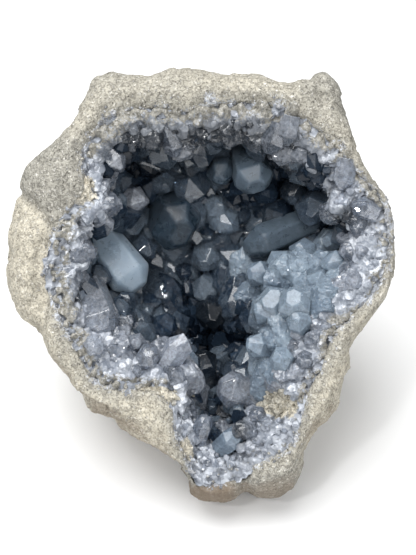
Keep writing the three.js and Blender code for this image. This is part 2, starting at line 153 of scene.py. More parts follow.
# The largest crystals by their finish: foot, tip, rise of the tip above the foot, width, thickness,
# turn in degrees, how blunt the end is and how light the crystal is.
LARGE_CRYSTALS = {
    "milky": [
        ((-66, 30), (-42, -1), 9, 29, 18, 32, 0.75, 0.92),
        ((-25, 48), (-15, 33), 28, 36, 27, 70, 0.9, 0.06),
        ((12, 84), (8, 66), 20, 19, 15, 62, 0.5, 0.2),
        ((24, 86), (31, 61), 27, 26, 20, 20, 0.8, 0.28),
        ((66, 41), (25, 24), 16, 29, 20, 35, 0.6, 0.25),
    ],
    "pale": [
        ((-57, 56), (-37, 54), 10, 18, 14, 75, 0.3, 1.0),
        ((50, 97), (47, 85), -3, 15, 12, 80, 0.2, 0.8),
        ((42, 93), (38, 80), -2, 18, 14, 30, 0.4, 0.2),
        ((-24, -48), (-12, -29), 14, 18, 12, 20, 0, 0.9),
        ((-44, -36), (-42, -34), 12, 15, 13, 10, 0.7, 0.4),
        ((-22, 91), (-17, 79), -2, 14, 11, 75, 0.5, 0.2),
        ((-56, 77), (-50, 70), 2, 15, 12, 40, 0.4, 0.2),
    ],
    "clear": [
        ((-71, -4), (-61, -28), 22, 25, 20, 15, 0.7, 0.8),
        ((83, 71), (81, 58), -1, 15, 12, 15, 0.2, 0.7),
        ((97, 46), (87, 50), 2, 15, 12, 60, 0.3, 0.6),
        ((-35, -44), (-34, -39), 15, 16, 13, 60, 0.6, 0.7),
        ((29, -66), (8, -61), 9, 23, 14, 80, 0.8, 0.7),
        ((-4, -74), (-2, -59), 9, 11, 7, 15, 0, 0.9),
        ((-4, -92), (0, -78), 10, 14, 11, 65, 0.5, 0.3),
    ],
    "blue": [
        ((84, 30), (75, 28), 14, 17, 13, 25, 0.6, 0.6),
        ((78, 26), (76, 31), 12, 20, 16, 55, 1, 0.9),
        ((37, 8), (27, 8), 12, 17, 15, 10, 0.4, 0.3),
        ((42, -13), (40, -7), 13, 24, 21, 50, 1, 0.8),
        ((54, -12), (52, -6), 13, 21, 19, 85, 0.9, 0.8),
        ((48, 16), (44, 14), 14, 17, 15, 0, 0.6, 0.4),
        ((62, 20), (58, 24), 13, 19, 15, 30, 0.4, 0.3),
        ((87, 13), (72, 14), 11, 19, 15, 70, 0.5, 0.6),
        ((70, 4), (66, 0), 13, 17, 14, 20, 0.6, 0.7),
        ((41, -17), (30, -13), 12, 16, 14, 15, 0.3, 0.5),
        ((58, -23), (53, -17), 12, 16, 13, 45, 0.4, 0.6),
        ((10, -98), (20, -88), 12, 16, 13, 35, 0.2, 0.1),
        ((38, -38), (25, -34), 11, 16, 14, 5, 0.3, 0.5),
        ((48, -44), (42, -42), 12, 16, 13, 60, 0.6, 0.7),
    ],
    "smoky": [
        ((72, 58), (63, 41), 16, 25, 19, 40, 0.6, 0.45),
        ((58, 66), (54, 54), 14, 19, 16, 10, 0.5, 0.3),
        ((1, -62), (-3, -41), 14, 20, 15, 85, 0.5, 0.2),
        ((19, -62), (15, -47), 12, 15, 13, 40, 0.4, 0.3),
        ((4, -6), (4, -24), 22, 21, 18, 50, 0.6, 0.2),
        ((0, 25), (-1, 13), 17, 20, 17, 10, 0.6, 0.9),
        ((-46, 34), (-34, 19), 12, 15, 13, 45, 0.4, 0.5),
        ((-30, 70), (-25, 62), 16, 17, 14, 25, 0.4, 0.7),
        ((-36, 2), (-23, -8), 15, 18, 15, 55, 0.5, 0.5),
    ],
}
LARGE_CRYSTAL_ROOT = 6
# How far the edges are worn, and for milky crystals which share of their width.
WORN_EDGE = 0.35
MILKY_WORN_SHARE = 0.045

# Grooves that the break left in the limestone: points on the face, depth and half width.
GROOVES = [
    ([(-118, 60), (-98, 44), (-93.5, 34), (-95, 5), (-98, -24)], 2.6, 3),
    ([(-92, 62), (-84, 50), (-88, 38)], 1.6, 4),
    ([(62, 128), (71, 112)], 2.5, 4),
    ([(25, -132), (22, -112)], 5, 5),
]
# Ledges: to the right of the line, as it runs, the stone lies lower, or higher where the depth is
# below zero. Points, depth and half width.
LEDGES = [
    ([(-84, -56), (-75, -64), (-59, -71), (-53, -87), (-30, -98), (-14, -108)], 4.5, 1.6),
    ([(66, 117), (40, 119), (16, 123), (10, 121), (-10, 121)], -1.8, 1.5),
    ([(60, -88), (68, -72), (78, -60)], 2.2, 1.6),
]

# The bed's mesh: points round it, rings down its front and down its back, and how far its back
# lies in the limestone. The large crystals are stood on a coarser copy of its front.
BED_COLUMNS, BED_ROWS, BACK_ROWS = 400, 130, 18
BACK_IN_STONE = 0.8
FINDER_COLUMNS, FINDER_ROWS = 120, 40

# Small crystals strewn over the bed: the mark that they grow on, their finish, the sizes in the
# settings that they take, and how far they tilt, in radians.
DRUSES = {
    # Near-black crystals that paint shade into the gaps between the others.
    "night_druse": ("gap", "night", "wall", 0.7),
    "smoky_druse": ("bottom", "smoky", "deep", 0.6),
    "dark_druse": ("bottom", "smoky", "wall", 0.7),
}

# How many shapes the strewn crystals and crumbs have, and most of them to a square metre, before
# their spacing thins them out.
CRYSTAL_SHAPES, CRUMB_SHAPES = 12, 5
MOST_STREWN = 900000.0

# The lengths from here to the lights are in metres.
SUGAR_SPACING = 0.0019
CRUMB_SPACING, CRUMB_SIZE = 0.0026, 0.0042

# Crystals that grew together: the step of their skin, and the share of its faces that is kept.
SKIN_STEP = 0.0009
FACES_KEPT = 0.3

# Width and height of the lumps, chips and grains of a broken surface.
RELIEF_KINDS = ("Lump", "Chip", "Grain")
BED_RELIEF = ((0.012, 0.0012), (0.0046, 0.0017), (0.0024, 0.0006))
SKIN_RELIEF = ((0.01, 0.0003), (0.0034, 0.0003), (0.002, 0.0002))

CELESTITE_IOR = 1.62
# Grey end of the random tone of fracture faces, standing for painted shade on faces turned from the light.
SHADED_FACET_GREY = (0.20, 0.22, 0.26, 1)
# Painted shade for fractured crystal under the top lip and in the gaps.
SHADED_FRACTURES = (0.10, 0.11, 0.125, 1)
# Brown of painted bounce light from a table, in the painted shade at the geode's foot.
TABLE_BOUNCE_BROWN = (0.26, 0.19, 0.13, 1)

# The studio: middle of the view, in millimetres on the broken face, half width of the floor, colour
# of the room's light, and each lamp's place and width.
VIEW_MIDDLE = (1.2, 5.8)
FLOOR_REACH = 4
ROOM_LIGHT = (0.96, 0.98, 1.0, 1)
LIGHTS = {
    "key": ((-0.25, 0.05, 1.35), 1.2),
    "fill": ((0.5, -1.2, 0.9), 1.2),
    "glint": ((-0.5, -0.7, 1.1), 0.12),
}

# ---- settings


def length(name, description, default):
    return FloatProperty(
        name=name, description=description, default=default, unit="LENGTH", subtype="DISTANCE", precision=5
    )


def colour(name, description, default):
    return FloatVectorProperty(
        name=name, description=description, default=default, size=3, subtype="COLOR", min=0, max=1
    )


def power(name, description, default):
    return FloatProperty(name=name, description=description, default=default, unit="POWER")


class LimestoneSettings(bpy.types.PropertyGroup):
    """Sizes and colours of the limestone"""

    voxel: length("Mesh step", "Size of the limestone's faces", 0.00176)
    lump_size: length("Lump size", "Width of the lumps of the broken rock", 0.015)
    lump_height: length("Lump height", "How far the lumps stand out", 0.0005)
    chip_size: length("Chip size", "Width of the chipped faces", 0.0085)
    chip_height: length("Chip height", "How far the chipped faces tilt out", 0.0005)
    grain_size: length("Grain size", "Width of the rock's coarse grains", 0.0036)
    grain_height: length("Grain height", "How far the grains stand out", 0.0005)
    warm: colour("Warm stone", "Colour of the clean limestone", (0.57, 0.527, 0.43))
    grey: colour("Grey stone", "Colour of the weathered limestone", (0.37, 0.355, 0.31))
    dark: colour("Dark grains", "Colour of the dark grains", (0.07, 0.065, 0.055))
    white: colour("Pale grains", "Colour of the pale grains", (0.88, 0.85, 0.78))


class CrystalSettings(bpy.types.PropertyGroup):
    """Sizes and colours of the celestite"""

    sugar_size: length("Sugar crystals", "Width of the grains where the crystals meet the limestone", 0.0014)
    rim_spacing: length("Rim spacing", "Distance between the crystals round the mouth", 0.0042)
    rim_size: length("Rim crystals", "Width of the crystals round the mouth", 0.0092)
    lip_spacing: length("Lip spacing", "Distance between the crystals of the inner lip", 0.0070)
    lip_size: length("Lip crystals", "Width of the crystals of the inner lip", 0.0125)
    bank_spacing: length("Bank spacing", "Distance between the crystals of the banks", 0.0072)
    bank_size: length("Bank crystals", "Width of the crystals of the banks", 0.0165)
    wall_spacing: length("Wall spacing", "Distance between the crystals of the walls", 0.0054)
    wall_size: length("Wall crystals", "Width of the crystals of the walls", 0.0110)
    deep_spacing: length("Deep spacing", "Distance between the crystals at the bottom", 0.0092)
    deep_size: length("Deep crystals", "Width of the crystals at the bottom", 0.0170)
    seed: IntProperty(name="Seed", description="Changes how the small crystals are strewn", default=4, min=0)
    white: colour("White crystal", "Colour of fractured crystal at the mouth", (0.80, 0.83, 0.88))
    pale: colour("Pale crystal", "Colour of the pale crystals", (0.66, 0.71, 0.80))
    blue: colour("Blue crystal", "Colour of the blue banks", (0.30, 0.37, 0.44))
    smoke: colour("Smoky crystal", "Colour of the crystals of the walls", (0.36, 0.45, 0.55))
    slate: colour("Slate crystal", "Colour of the milky crystals", (0.36, 0.45, 0.54))
    depth_blue: colour("Colour with depth", "Colour of clear crystal where it is thick", (0.38, 0.55, 0.74))
    # Painted shade: the near black of the bed deep in the hollow, with the crystals' own blue in it.
    night: colour("Deep bed", "Colour of the bed at the bottom of the hollow", (0.012, 0.024, 0.045))


class StudioSettings(bpy.types.PropertyGroup):
    """Floor, lights and camera"""

    floor: colour("Floor", "Colour of the floor", (0.93, 0.93, 0.93))
    room: FloatProperty(name="Room light", description="Brightness of the pale room", default=0.46, min=0)
    key_power: power("Key light", "Power of the main light", 21)
    fill_power: power("Fill light", "Power of the fill light", 7)
    glint_power: power("Glint light", "Power of the small light", 3)
    camera_distance: length("Camera distance", "From the camera to the broken face", 0.755)
    view_height: length("View height", "Height of the view at the broken face", 0.3275)


# ---- shape helpers


def face_to_world(points):
    """Turns millimetres on the broken face's axes into metres in the geode's frame."""
    x, y, z = np.asarray(points, float).reshape(-1, 3).T / 1000
    cos, sin = math.cos(LEAN_BACK), math.sin(LEAN_BACK)
    return np.column_stack([x, y * cos - z * sin, y * sin + z * cos]) + np.array(FACE_MIDDLE)


def world_to_face(points):
    """Turns metres in the geode's frame into millimetres on the broken face's axes."""
    x, y, z = (np.asarray(points, float).reshape(-1, 3) - np.array(FACE_MIDDLE)).T * 1000
    cos, sin = math.cos(LEAN_BACK), math.sin(LEAN_BACK)
    return np.column_stack([x, y * cos + z * sin, z * cos - y * sin])


def smoothstep(value, low, high):
    t = np.clip((value - low) / (high - low), 0, 1)
    return t * t * (3 - 2 * t)


def lumps(points, size):
    """Smooth noise from -1 to 1 whose lumps are one size apart."""
    points = points / size + np.array([3.7, 9.2, 5.1])
    cell = np.floor(points)
    part = points - cell
    part = part * part * (3 - 2 * part)
    total = np.zeros(points.shape[:-1])
    for corner in range(8):
        step = np.array([corner & 1, corner >> 1 & 1, corner >> 2 & 1])
        weight = np.prod(np.where(step, part, 1 - part), axis=-1)
        mixed = np.sin((cell + step) @ np.array([127.1, 311.7, 74.7])) * 43758.5453
        total += weight * (2 * (mixed - np.floor(mixed)) - 1)
    return total


def catmull_rom(points, closed=False, steps=24):
    """A smooth line through the points, with the same number of steps between each two."""
    points = np.asarray(points, float)
    count = len(points)
    line = []
    for n in range(count if closed else count - 1):
        picks = [n - 1, n, n + 1, n + 2]
        a, b, c, d = (points[p % count if closed else min(max(p, 0), count - 1)] for p in picks)
        t = (np.arange(steps) / steps)[:, None]
        curve = 2 * b + (c - a) * t + (2 * a - 5 * b + 4 * c - d) * t**2 + (3 * b - a - 3 * c + d) * t**3
        line.append(curve / 2)
    if not closed:
        line.append(points[-1:])
    return np.vstack(line)


def even_profile(points, rows):
    """A profile's share inwards and share of the depth, at even steps along it."""
    line = catmull_rom(points)
    run = np.concatenate([[0], np.cumsum(np.linalg.norm(np.diff(line, axis=0), axis=1))])
    wanted = np.linspace(0, run[-1], rows)
    return np.column_stack([np.interp(wanted, run, line[:, n]) for n in (0, 1)])


def mouth_radius(angle):
    """Distance from the middle of the face to the edge of the crystals, in a direction."""
    line = catmull_rom(MOUTH_OUTLINE, closed=True, steps=8)
    directions = np.arctan2(line[:, 1], line[:, 0])
    order = np.argsort(directions)
    return np.interp(angle, directions[order], np.hypot(line[:, 0], line[:, 1])[order], period=2 * math.pi)


def mouth_height(x, y):
    """Height of the edge of the crystals, a little below the crest of the limestone rim."""
    curl = 0.0034 * np.minimum(0, y + 58) ** 2
    sides = 0.0011 * np.maximum(0, np.abs(x) - 60) ** 2
    wave = 3.5 * lumps(np.stack([x, y, np.zeros_like(x)], axis=-1), 46)
    return wave - curl - sides - RIM_RECESS


def mouth_edge(angle):
    """Distance and height of the edge of the crystals, in a direction."""
    edge = mouth_radius(angle)
    return edge, mouth_height(edge * np.cos(angle), edge * np.sin(angle))


def inside_mouth(x, y):
    """How far inside the edge of the crystals a place on the face is."""
    return mouth_radius(np.arctan2(y, x)) - np.hypot(x, y)


def polar_grid(columns, rows):
    angle = np.linspace(0, 2 * math.pi, columns, endpoint=False)
    return np.meshgrid(angle, np.linspace(0, 1, rows))


def wall_surface(columns, rows, outwards):
    """The hollow's limestone wall, moved a little into the stone, as rows of points."""
    angle, _ = polar_grid(columns, rows)
    inward, depth = (value[:, None] for value in even_profile(WALL_PROFILE, rows).T)
    edge, edge_height = mouth_edge(angle)
    radius = (edge + outwards) * (1 - inward)
    height = edge_height * (1 - depth) - (WALL_DEPTH + outwards) * depth
    return np.stack([radius * np.cos(angle), radius * np.sin(angle), height], axis=2)


def bed_surface(columns, rows):
    """The uneven bed that the crystals stand on, as rows of points from the mouth to the bottom."""
    angle, share = polar_grid(columns, rows)
    low = smoothstep(-np.sin(angle), -0.35, 0.5)[..., None]
    top, foot = even_profile(BED_PROFILE_TOP, rows), even_profile(BED_PROFILE_FOOT, rows)
    inward, depth = np.moveaxis(top[:, None] * (1 - low) + foot[:, None] * low, 2, 0)
    edge, edge_height = mouth_edge(angle)
    radius = edge * (1 - inward)
    rooted = 3 * (1 - smoothstep(share, 0, 0.045))
    x, y = (radius + rooted) * np.cos(angle), (radius + rooted) * np.sin(angle)
    z = edge_height * (1 - depth) - BED_DEPTH * depth - 0.5 * rooted
    settled = smoothstep(share, 0.05, 0.5)
    for (at_x, at_y), (reach_x, reach_y), rise in BANKS:
        z += settled * rise * np.exp(-(((x - at_x) / reach_x) ** 2) - ((y - at_y) / reach_y) ** 2)
    points = np.stack([x, y, z], axis=2)
    points[..., 2] += settled * 3 * lumps(points, 15)
    return points, share


def ring_faces(rings, columns, corners, first=0):
    """Four-sided faces between closed rings of points, each from its corners as (down, across)."""
    return [
        tuple(first + (ring + down) * columns + (column + across) % columns for down, across in corners)
        for ring in range(rings - 1)
        for column in range(columns)
    ]


def within(points, spots):
    """How far a point is inside the nearest of some oval spots: 1 in the middle, fading outwards."""
    most = np.zeros(len(points))
    for (at_x, at_y), (reach_x, reach_y) in spots:
        far = ((points[:, 0] - at_x) / reach_x) ** 2 + ((points[:, 1] - at_y) / reach_y) ** 2
        most = np.maximum(most, np.exp(-far))
    return most


def distance_to_line(points, line):
    """Distance from points on the face to a line, and on which side of it they are."""
    corners = np.asarray(line, float)
    nearest = np.full(len(points), np.inf)
    side = np.zeros(len(points))
    for start, end in zip(corners[:-1], corners[1:]):
        run = end - start
        along = np.clip((points - start) @ run / (run @ run), 0, 1)
        gap = points - start - along[:, None] * run
        away = np.hypot(gap[:, 0], gap[:, 1])
        closer = away < nearest
        nearest = np.where(closer, away, nearest)
        side = np.where(closer, np.sign(run[0] * gap[:, 1] - run[1] * gap[:, 0]), side)
    return nearest, side


# ---- mesh helpers


def new_piece(name, mesh):
    piece = bpy.data.objects.new(name, mesh)
    bpy.context.scene.collection.objects.link(piece)
    return piece


def new_mesh(name, vertices, faces):
    mesh = bpy.data.meshes.new(name)
    mesh.from_pydata([tuple(v) for v in vertices], [], faces)
    mesh.update()
    return mesh


def from_bmesh(name, shape):
    mesh = bpy.data.meshes.new(name)
    shape.to_mesh(mesh)
    shape.free()
    return mesh


def read_vectors(items, name):
    flat = np.empty(len(items) * 3)
    items.foreach_get(name, flat)
    return flat.reshape(-1, 3)


def vertex_positions(mesh):
    return read_vectors(mesh.vertices, "co")


def vertex_normals(mesh):
    return read_vectors(mesh.vertex_normals, "vector")


def move_vertices(mesh, points):
    mesh.vertices.foreach_set("co", np.ascontiguousarray(points).ravel())
    mesh.update()


def store(mesh, **marks):
    """Keeps numbers for each vertex, for the materials and the strewing of crystals."""
    for name, values in marks.items():
        attribute = mesh.attributes.get(name) or mesh.attributes.new(name, "FLOAT", "POINT")
        attribute.data.foreach_set("value", np.ascontiguousarray(values, dtype=np.float32))


def grow_together(piece, step, rounds):
    """Makes one skin of a piece's overlapping shapes, with worn edges."""
    remesh = piece.modifiers.new("One skin", "REMESH")
    remesh.mode = "VOXEL"
    remesh.voxel_size = step
    smooth = piece.modifiers.new("Worn edges", "SMOOTH")
    smooth.factor = 0.5
    smooth.iterations = rounds
    return settle(piece)


def nearest_tints(source, points):
    """The tint of the crystal that is nearest to each point."""
    faces = [tuple(face.vertices) for face in source.polygons]
    tree = BVHTree.FromPolygons(vertex_positions(source).tolist(), faces)
    tints = [value.value for value in source.attributes["tint"].data]
    return [tints[faces[tree.find_nearest(Vector(point))[2]][0]] for point in points]


def settle(piece):
    """Turns a piece with its modifiers into one plain mesh."""
    bpy.context.view_layer.update()
    evaluated = piece.evaluated_get(bpy.context.evaluated_depsgraph_get())
    mesh = bpy.data.meshes.new_from_object(evaluated)
    piece.modifiers.clear()
    old = piece.data
    piece.data = mesh
    bpy.data.meshes.remove(old)
    mesh.name = piece.name
    return piece


# ---- node helpers


def rgba(value):
    return (*value, 1.0)


class Nodes:
    """Adds nodes to a tree and joins them."""

    def __init__(self, tree):
        self.tree = tree

    def add(self, kind, inputs=None, **settings):
        node = self.tree.nodes.new(kind)
        for name, value in settings.items():
            setattr(node, name, value)
        for name, value in (inputs or {}).items():
            self.feed(node.inputs[name], value)
        return node

    def feed(self, socket, value):
        if isinstance(value, bpy.types.NodeSocket):
            self.tree.links.new(value, socket)
        else:
            socket.default_value = value

    def feed_all(self, sockets, **values):
        for name, value in values.items():
            self.feed(sockets[name.replace("_", " ")], value)
        return self.tree

    def made(self, kind, inputs=None, **settings):
        return self.add(kind, inputs, **settings).outputs[0]

    def math(self, operation, first, second):
        return self.made("ShaderNodeMath", {0: first, 1: second}, operation=operation)

    def plus(self, first, second):
        return self.math("ADD", first, second)

    def minus(self, first, second):
        return self.math("SUBTRACT", first, second)

    def times(self, first, second):
        return self.math("MULTIPLY", first, second)

    def over(self, first, second):
        return self.math("DIVIDE", first, second)

    def vector(self, operation, first, second=None, scale=None):
        inputs = {0: first}
        if second is not None:
            inputs[1] = second
        if scale is not None:
            inputs["Scale"] = scale
        node = self.add("ShaderNodeVectorMath", inputs, operation=operation)
        return node.outputs["Value" if operation == "DOT_PRODUCT" else "Vector"]

    def noise(self, vector, scale, detail=4.0, roughness=0.55, distortion=0.0):
        inputs = {"Vector": vector, "Scale": scale, "Detail": detail, "Roughness": roughness}
        inputs["Distortion"] = distortion
        return self.made("ShaderNodeTexNoise", inputs)

    def ramp(self, value, low, high, to_low=0.0, to_high=1.0):
        """Stretches a value from one range to another, and keeps it there."""
        inputs = {"Value": value, "From Min": low, "From Max": high, "To Min": to_low, "To Max": to_high}
        return self.made("ShaderNodeMapRange", inputs, clamp=True)

    def mix(self, factor, first, second, blend="MIX"):
        inputs = {0: factor, 6: first, 7: second}
        return self.add("ShaderNodeMix", inputs, data_type="RGBA", blend_type=blend).outputs[2]

    def toned(self, colour_here, value, to_low, to_high, low=0, high=1):
        """Makes a colour darker or lighter by a value that is stretched to another range."""
        factor = self.ramp(value, low, high, to_low, to_high)
        factor = self.made("ShaderNodeCombineColor", {0: factor, 1: factor, 2: factor})
        return self.mix(1.0, colour_here, factor, "MULTIPLY")

    def attribute(self, name):
        return self.add("ShaderNodeAttribute", attribute_name=name).outputs["Fac"]

    def kept(self, name):
        """A number of the mesh, in a geometry tree."""
        return self.made("GeometryNodeInputNamedAttribute", {"Name": name}, data_type="FLOAT")

    def keep(self, geometry, name, value, domain):
        inputs = {"Geometry": geometry, "Name": name, "Value": value}
        return self.made("GeometryNodeStoreNamedAttribute", inputs, data_type="FLOAT", domain=domain)

    def dressed(self, geometry, material):
        return self.made("GeometryNodeSetMaterial", {"Geometry": geometry, "Material": material})


def new_group(name, tree_type, inputs, outputs):
    """An empty node group, with its named inputs and outputs."""
    tree = bpy.data.node_groups.new(name, tree_type)
    for in_out, sockets in (("INPUT", inputs), ("OUTPUT", outputs)):
        for socket_name, kind, *default in sockets:
            socket = tree.interface.new_socket(socket_name, in_out=in_out, socket_type="NodeSocket" + kind)
            if default:
                socket.default_value = default[0]
    given, result = tree.nodes.new("NodeGroupInput"), tree.nodes.new("NodeGroupOutput")
    return Nodes(tree), given.outputs, result.inputs


def once(build):
    """Builds a node tree when it is first asked for, and finds it again after that."""
    name = build.__name__.replace("_", " ").capitalize()

    def find():
        return bpy.data.node_groups.get(name) or build(name)

    return find


def use_tree(piece, tree, values):
    """Gives a piece a geometry tree, with the values of its named inputs."""
    modifier = piece.modifiers.new(tree.name, "NODES")
    modifier.node_group = tree
    for socket in tree.interface.items_tree:
        if socket.in_out == "INPUT" and socket.name in values:
            modifier[socket.identifier] = values[socket.name]


# ---- effects that materials share


@once
def stone_grain(name):
    """Colour and relief of sandy limestone: patches, mottling, and dark and pale grains."""
    colours = [(stone_colour, "Color") for stone_colour in ("Warm", "Grey", "Dark", "White")]
    inputs = [("Vector", "Vector"), *colours, ("Greyness", "Float", 0.0)]
    outputs = [("Color", "Color"), ("Height", "Float")]
    nodes, given, result = new_group(name, "ShaderNodeTree", inputs, outputs)
    place = given["Vector"]
    patches = nodes.ramp(nodes.noise(place, 24, 5, 0.62), 0.38, 0.64)
    greyness = nodes.math("MAXIMUM", given["Greyness"], nodes.times(patches, 0.15))
    stone = nodes.mix(greyness, given["Warm"], given["Grey"])
    mottle = nodes.noise(place, 190, 7, 0.8)
    stone = nodes.mix(nodes.ramp(mottle, 0.46, 0.66, 0, 0.35), stone, given["Grey"])
    grain = nodes.noise(place, 760, 4, 0.85)
    stone = nodes.toned(stone, grain, 0.72, 1.24, 0.34, 0.66)
    etched = nodes.ramp(nodes.noise(place, 430, 2, 0.5, 1.6), 0.40, 0.53)
    stone = nodes.toned(stone, etched, 0.62, 1.05)
    for scale, tint, with_grey in ((540, "Dark", 0.04), (470, "White", 0.0)):
        level = nodes.plus(nodes.noise(place, scale, 3, 0.7), nodes.times(greyness, with_grey))
        speckle = nodes.ramp(level, 0.60, 0.70, 0, 0.85)
        stone = nodes.mix(speckle, stone, given[tint])
    relief = nodes.plus(nodes.times(mottle, 0.5), nodes.times(etched, 0.3))
    return nodes.feed_all(result, Color=stone, Height=relief)


@once
def broken_facets(name):
    """Small fracture faces, each with its own tone and its own tilt."""
    inputs = [("Vector", "Vector"), ("Scale", "Float", 300.0), ("Tilt", "Float", 0.5)]
    masks = [(mask, "Float") for mask in ("Tone", "Haze", "Veil", "Crack")]
    nodes, given, result = new_group(name, "ShaderNodeTree", inputs, [*masks, ("Normal", "Vector")])
    bend = nodes.add("ShaderNodeTexNoise", {"Vector": given["Vector"], "Scale": 260.0, "Detail": 2.0})
    place = nodes.vector("SCALE", bend.outputs["Color"], scale=0.0025)
    place = nodes.vector("ADD", given["Vector"], place)
    cells = nodes.add("ShaderNodeTexVoronoi", {"Vector": place, "Scale": given["Scale"]}).outputs["Color"]
    turned = nodes.vector("SUBTRACT", cells, (0.5, 0.5, 0.5))
    surface = nodes.add("ShaderNodeNewGeometry").outputs["Normal"]
    tilted = nodes.vector("ADD", surface, nodes.vector("SCALE", turned, scale=given["Tilt"]))
    seams = {"Vector": place, "Scale": nodes.times(given["Scale"], 0.7)}
    seams = nodes.add("ShaderNodeTexVoronoi", seams, feature="DISTANCE_TO_EDGE").outputs["Distance"]
    broken_up = nodes.ramp(nodes.noise(given["Vector"], 170, 3, 0.6), 0.48, 0.60)
    return nodes.feed_all(
        result,
        Crack=nodes.times(nodes.ramp(seams, 0.09, 0.0), broken_up),
        Tone=nodes.add("ShaderNodeSeparateColor", {"Color": cells}).outputs[1],
        Haze=nodes.ramp(nodes.noise(place, 120, 4, 0.65), 0.40, 0.66),
        Veil=nodes.ramp(nodes.noise(place, 480, 5, 0.8), 0.36, 0.64),
        Normal=nodes.vector("NORMALIZE", tilted),
    )


def use_group(nodes, tree, **values):
    """Places a shared effect in a material, on the piece's own coordinates."""
    node = nodes.add("ShaderNodeGroup", node_tree=tree)
    nodes.feed(node.inputs["Vector"], nodes.add("ShaderNodeTexCoord").outputs["Object"])
    nodes.feed_all(node.inputs, **values)
    return node.outputs


# ---- materials


def new_material(name, **values):
    material = bpy.data.materials.new(name)
    material.use_nodes = True
    shader = material.node_tree.nodes["Principled BSDF"].inputs
    nodes = Nodes(material.node_tree)
    nodes.feed_all(shader, **values)
    return material, nodes, shader


def grained(nodes, stone, greyness=0.0):
    """The limestone's grain in its own colours."""
    colours = {name.capitalize(): rgba(getattr(stone, name)) for name in ("warm", "grey", "dark", "white")}
    return use_group(nodes, stone_grain(), **colours, Greyness=greyness)


def ragged(nodes, mark, facets):
    """A mark on the surface, with a ragged edge."""
    return nodes.ramp(nodes.minus(nodes.attribute(mark), facets["Veil"]), -0.15, 0.25)


def pitted(nodes, surface, start, most, tint):
    """A surface that takes painted shade in its pits, in another colour."""
    return nodes.mix(nodes.ramp(nodes.attribute("pits"), start, 1.0, 0, most), surface, tint)


def limestone_material(stone, crystal):
    material, nodes, shader = new_material("Sandy limestone", Roughness=0.93, Specular_IOR_Level=0.2)
    grain = grained(nodes, stone, nodes.attribute("weathered"))
    # Painted shade in the pits.
    surface = pitted(nodes, grain["Color"], 0.25, 0.16, rgba(stone.dark))
    # Painted shade on the undersides and at the foot, browned as by bounce light from a table.
    under = nodes.times(nodes.attribute("under"), 0.55)
    surface = nodes.mix(under, surface, nodes.mix(0.6, rgba(stone.dark), TABLE_BOUNCE_BROWN))
    facets = use_group(nodes, broken_facets(), Scale=420.0, Tilt=0.9)
    # Fracture faces take random tones down to a grey that stands for painted shade.
    grains = nodes.mix(facets["Tone"], SHADED_FACET_GREY, rgba(crystal.white))
    surface = nodes.mix(ragged(nodes, "sugar", facets), surface, grains)
    relief = nodes.made("ShaderNodeBump", {"Height": grain["Height"], "Strength": 0.8, "Distance": 0.0012})
    nodes.feed_all(shader, Base_Color=surface, Normal=relief)
    return material


def crumb_material(stone):
    material, nodes, shader = new_material("Limestone crumbs", Roughness=0.95, Specular_IOR_Level=0.2)
    nodes.feed(shader["Base Color"], grained(nodes, stone, 0.65)["Color"])
    return material


def bed_material(stone, crystal):
    """Fine-grained celestite: fractured and white at the mouth, blue on the banks, nearly black below with
    painted shade.
    """
    material, nodes, shader = new_material("Celestite bed", Roughness=0.35, IOR=CELESTITE_IOR)
    facets = use_group(nodes, broken_facets(), Scale=330.0, Tilt=0.6)
    # Fracture faces take random tones down to a grey that stands for painted shade.
    white = nodes.mix(facets["Tone"], SHADED_FACET_GREY, (0.50, 0.53, 0.58, 1))
    # Painted shade in the pits.
    white = pitted(nodes, white, 0.3, 0.5, (0.14, 0.15, 0.17, 1))
    # Painted shade under the top lip.
    white = nodes.mix(nodes.attribute("shade"), white, SHADED_FRACTURES)
    blue = nodes.mix(facets["Tone"], (0.24, 0.32, 0.41, 1), rgba(crystal.blue))
    surface = nodes.mix(nodes.attribute("inner"), white, blue)
    # Painted shade: nearly black where the bed is deep, under the lip, on the left wall and in the gaps.
    surface = nodes.mix(nodes.attribute("deep"), surface, rgba(crystal.night))
    surface = nodes.mix(ragged(nodes, "bare", facets), surface, grained(nodes, stone)["Color"])
    nodes.feed_all(shader, Base_Color=surface, Normal=facets["Normal"])
    return material


def subsurface(weight, depth):
    """Values of light that spreads under a crystal's surface, evenly in all colours."""
    return {"Subsurface_Weight": weight, "Subsurface_Scale": depth, "Subsurface_Radius": (1, 1, 1)}


def fractured_material(stone, crystal):
    """Celestite full of fractures: lavender grey with white flakes, and stone between them at its edge."""
    material, nodes, shader = new_material("Fractured celestite", IOR=CELESTITE_IOR, **subsurface(0.2, 0.002))
    facets = use_group(nodes, broken_facets(), Scale=260.0, Tilt=0.45)
    flakes = nodes.plus(nodes.times(facets["Tone"], 0.4), nodes.attribute("tint"))
    flakes = nodes.plus(nodes.ramp(flakes, 0.75, 1.3, 0, 0.5), nodes.times(facets["Haze"], 0.2))
    flakes = nodes.plus(flakes, nodes.ramp(facets["Tone"], 0.78, 0.84, 0, 0.4))
    flakes = nodes.times(flakes, nodes.ramp(facets["Veil"], 0, 1, 0.4, 1.4))
    surface = nodes.mix(flakes, (0.20, 0.225, 0.27, 1), rgba(crystal.white))
    surface = nodes.mix(nodes.times(facets["Crack"], 0.3), surface, rgba(crystal.white))
    # Painted shade in the pits.
    surface = pitted(nodes, surface, 0.3, 0.4, (0.13, 0.15, 0.19, 1))
    # Painted shade under the top lip and in the gaps.
    surface = nodes.mix(nodes.attribute("shade"), surface, SHADED_FRACTURES)
    stony = nodes.mix(0.3, grained(nodes, stone, 1.0)["Color"], rgba(stone.dark))
    surface = nodes.mix(ragged(nodes, "stony", facets), surface, stony)
    roughness = nodes.ramp(facets["Haze"], 0, 1, 0.28, 0.55)
    nodes.feed_all(shader, Base_Color=surface, Roughness=roughness, Normal=facets["Normal"])
    return material


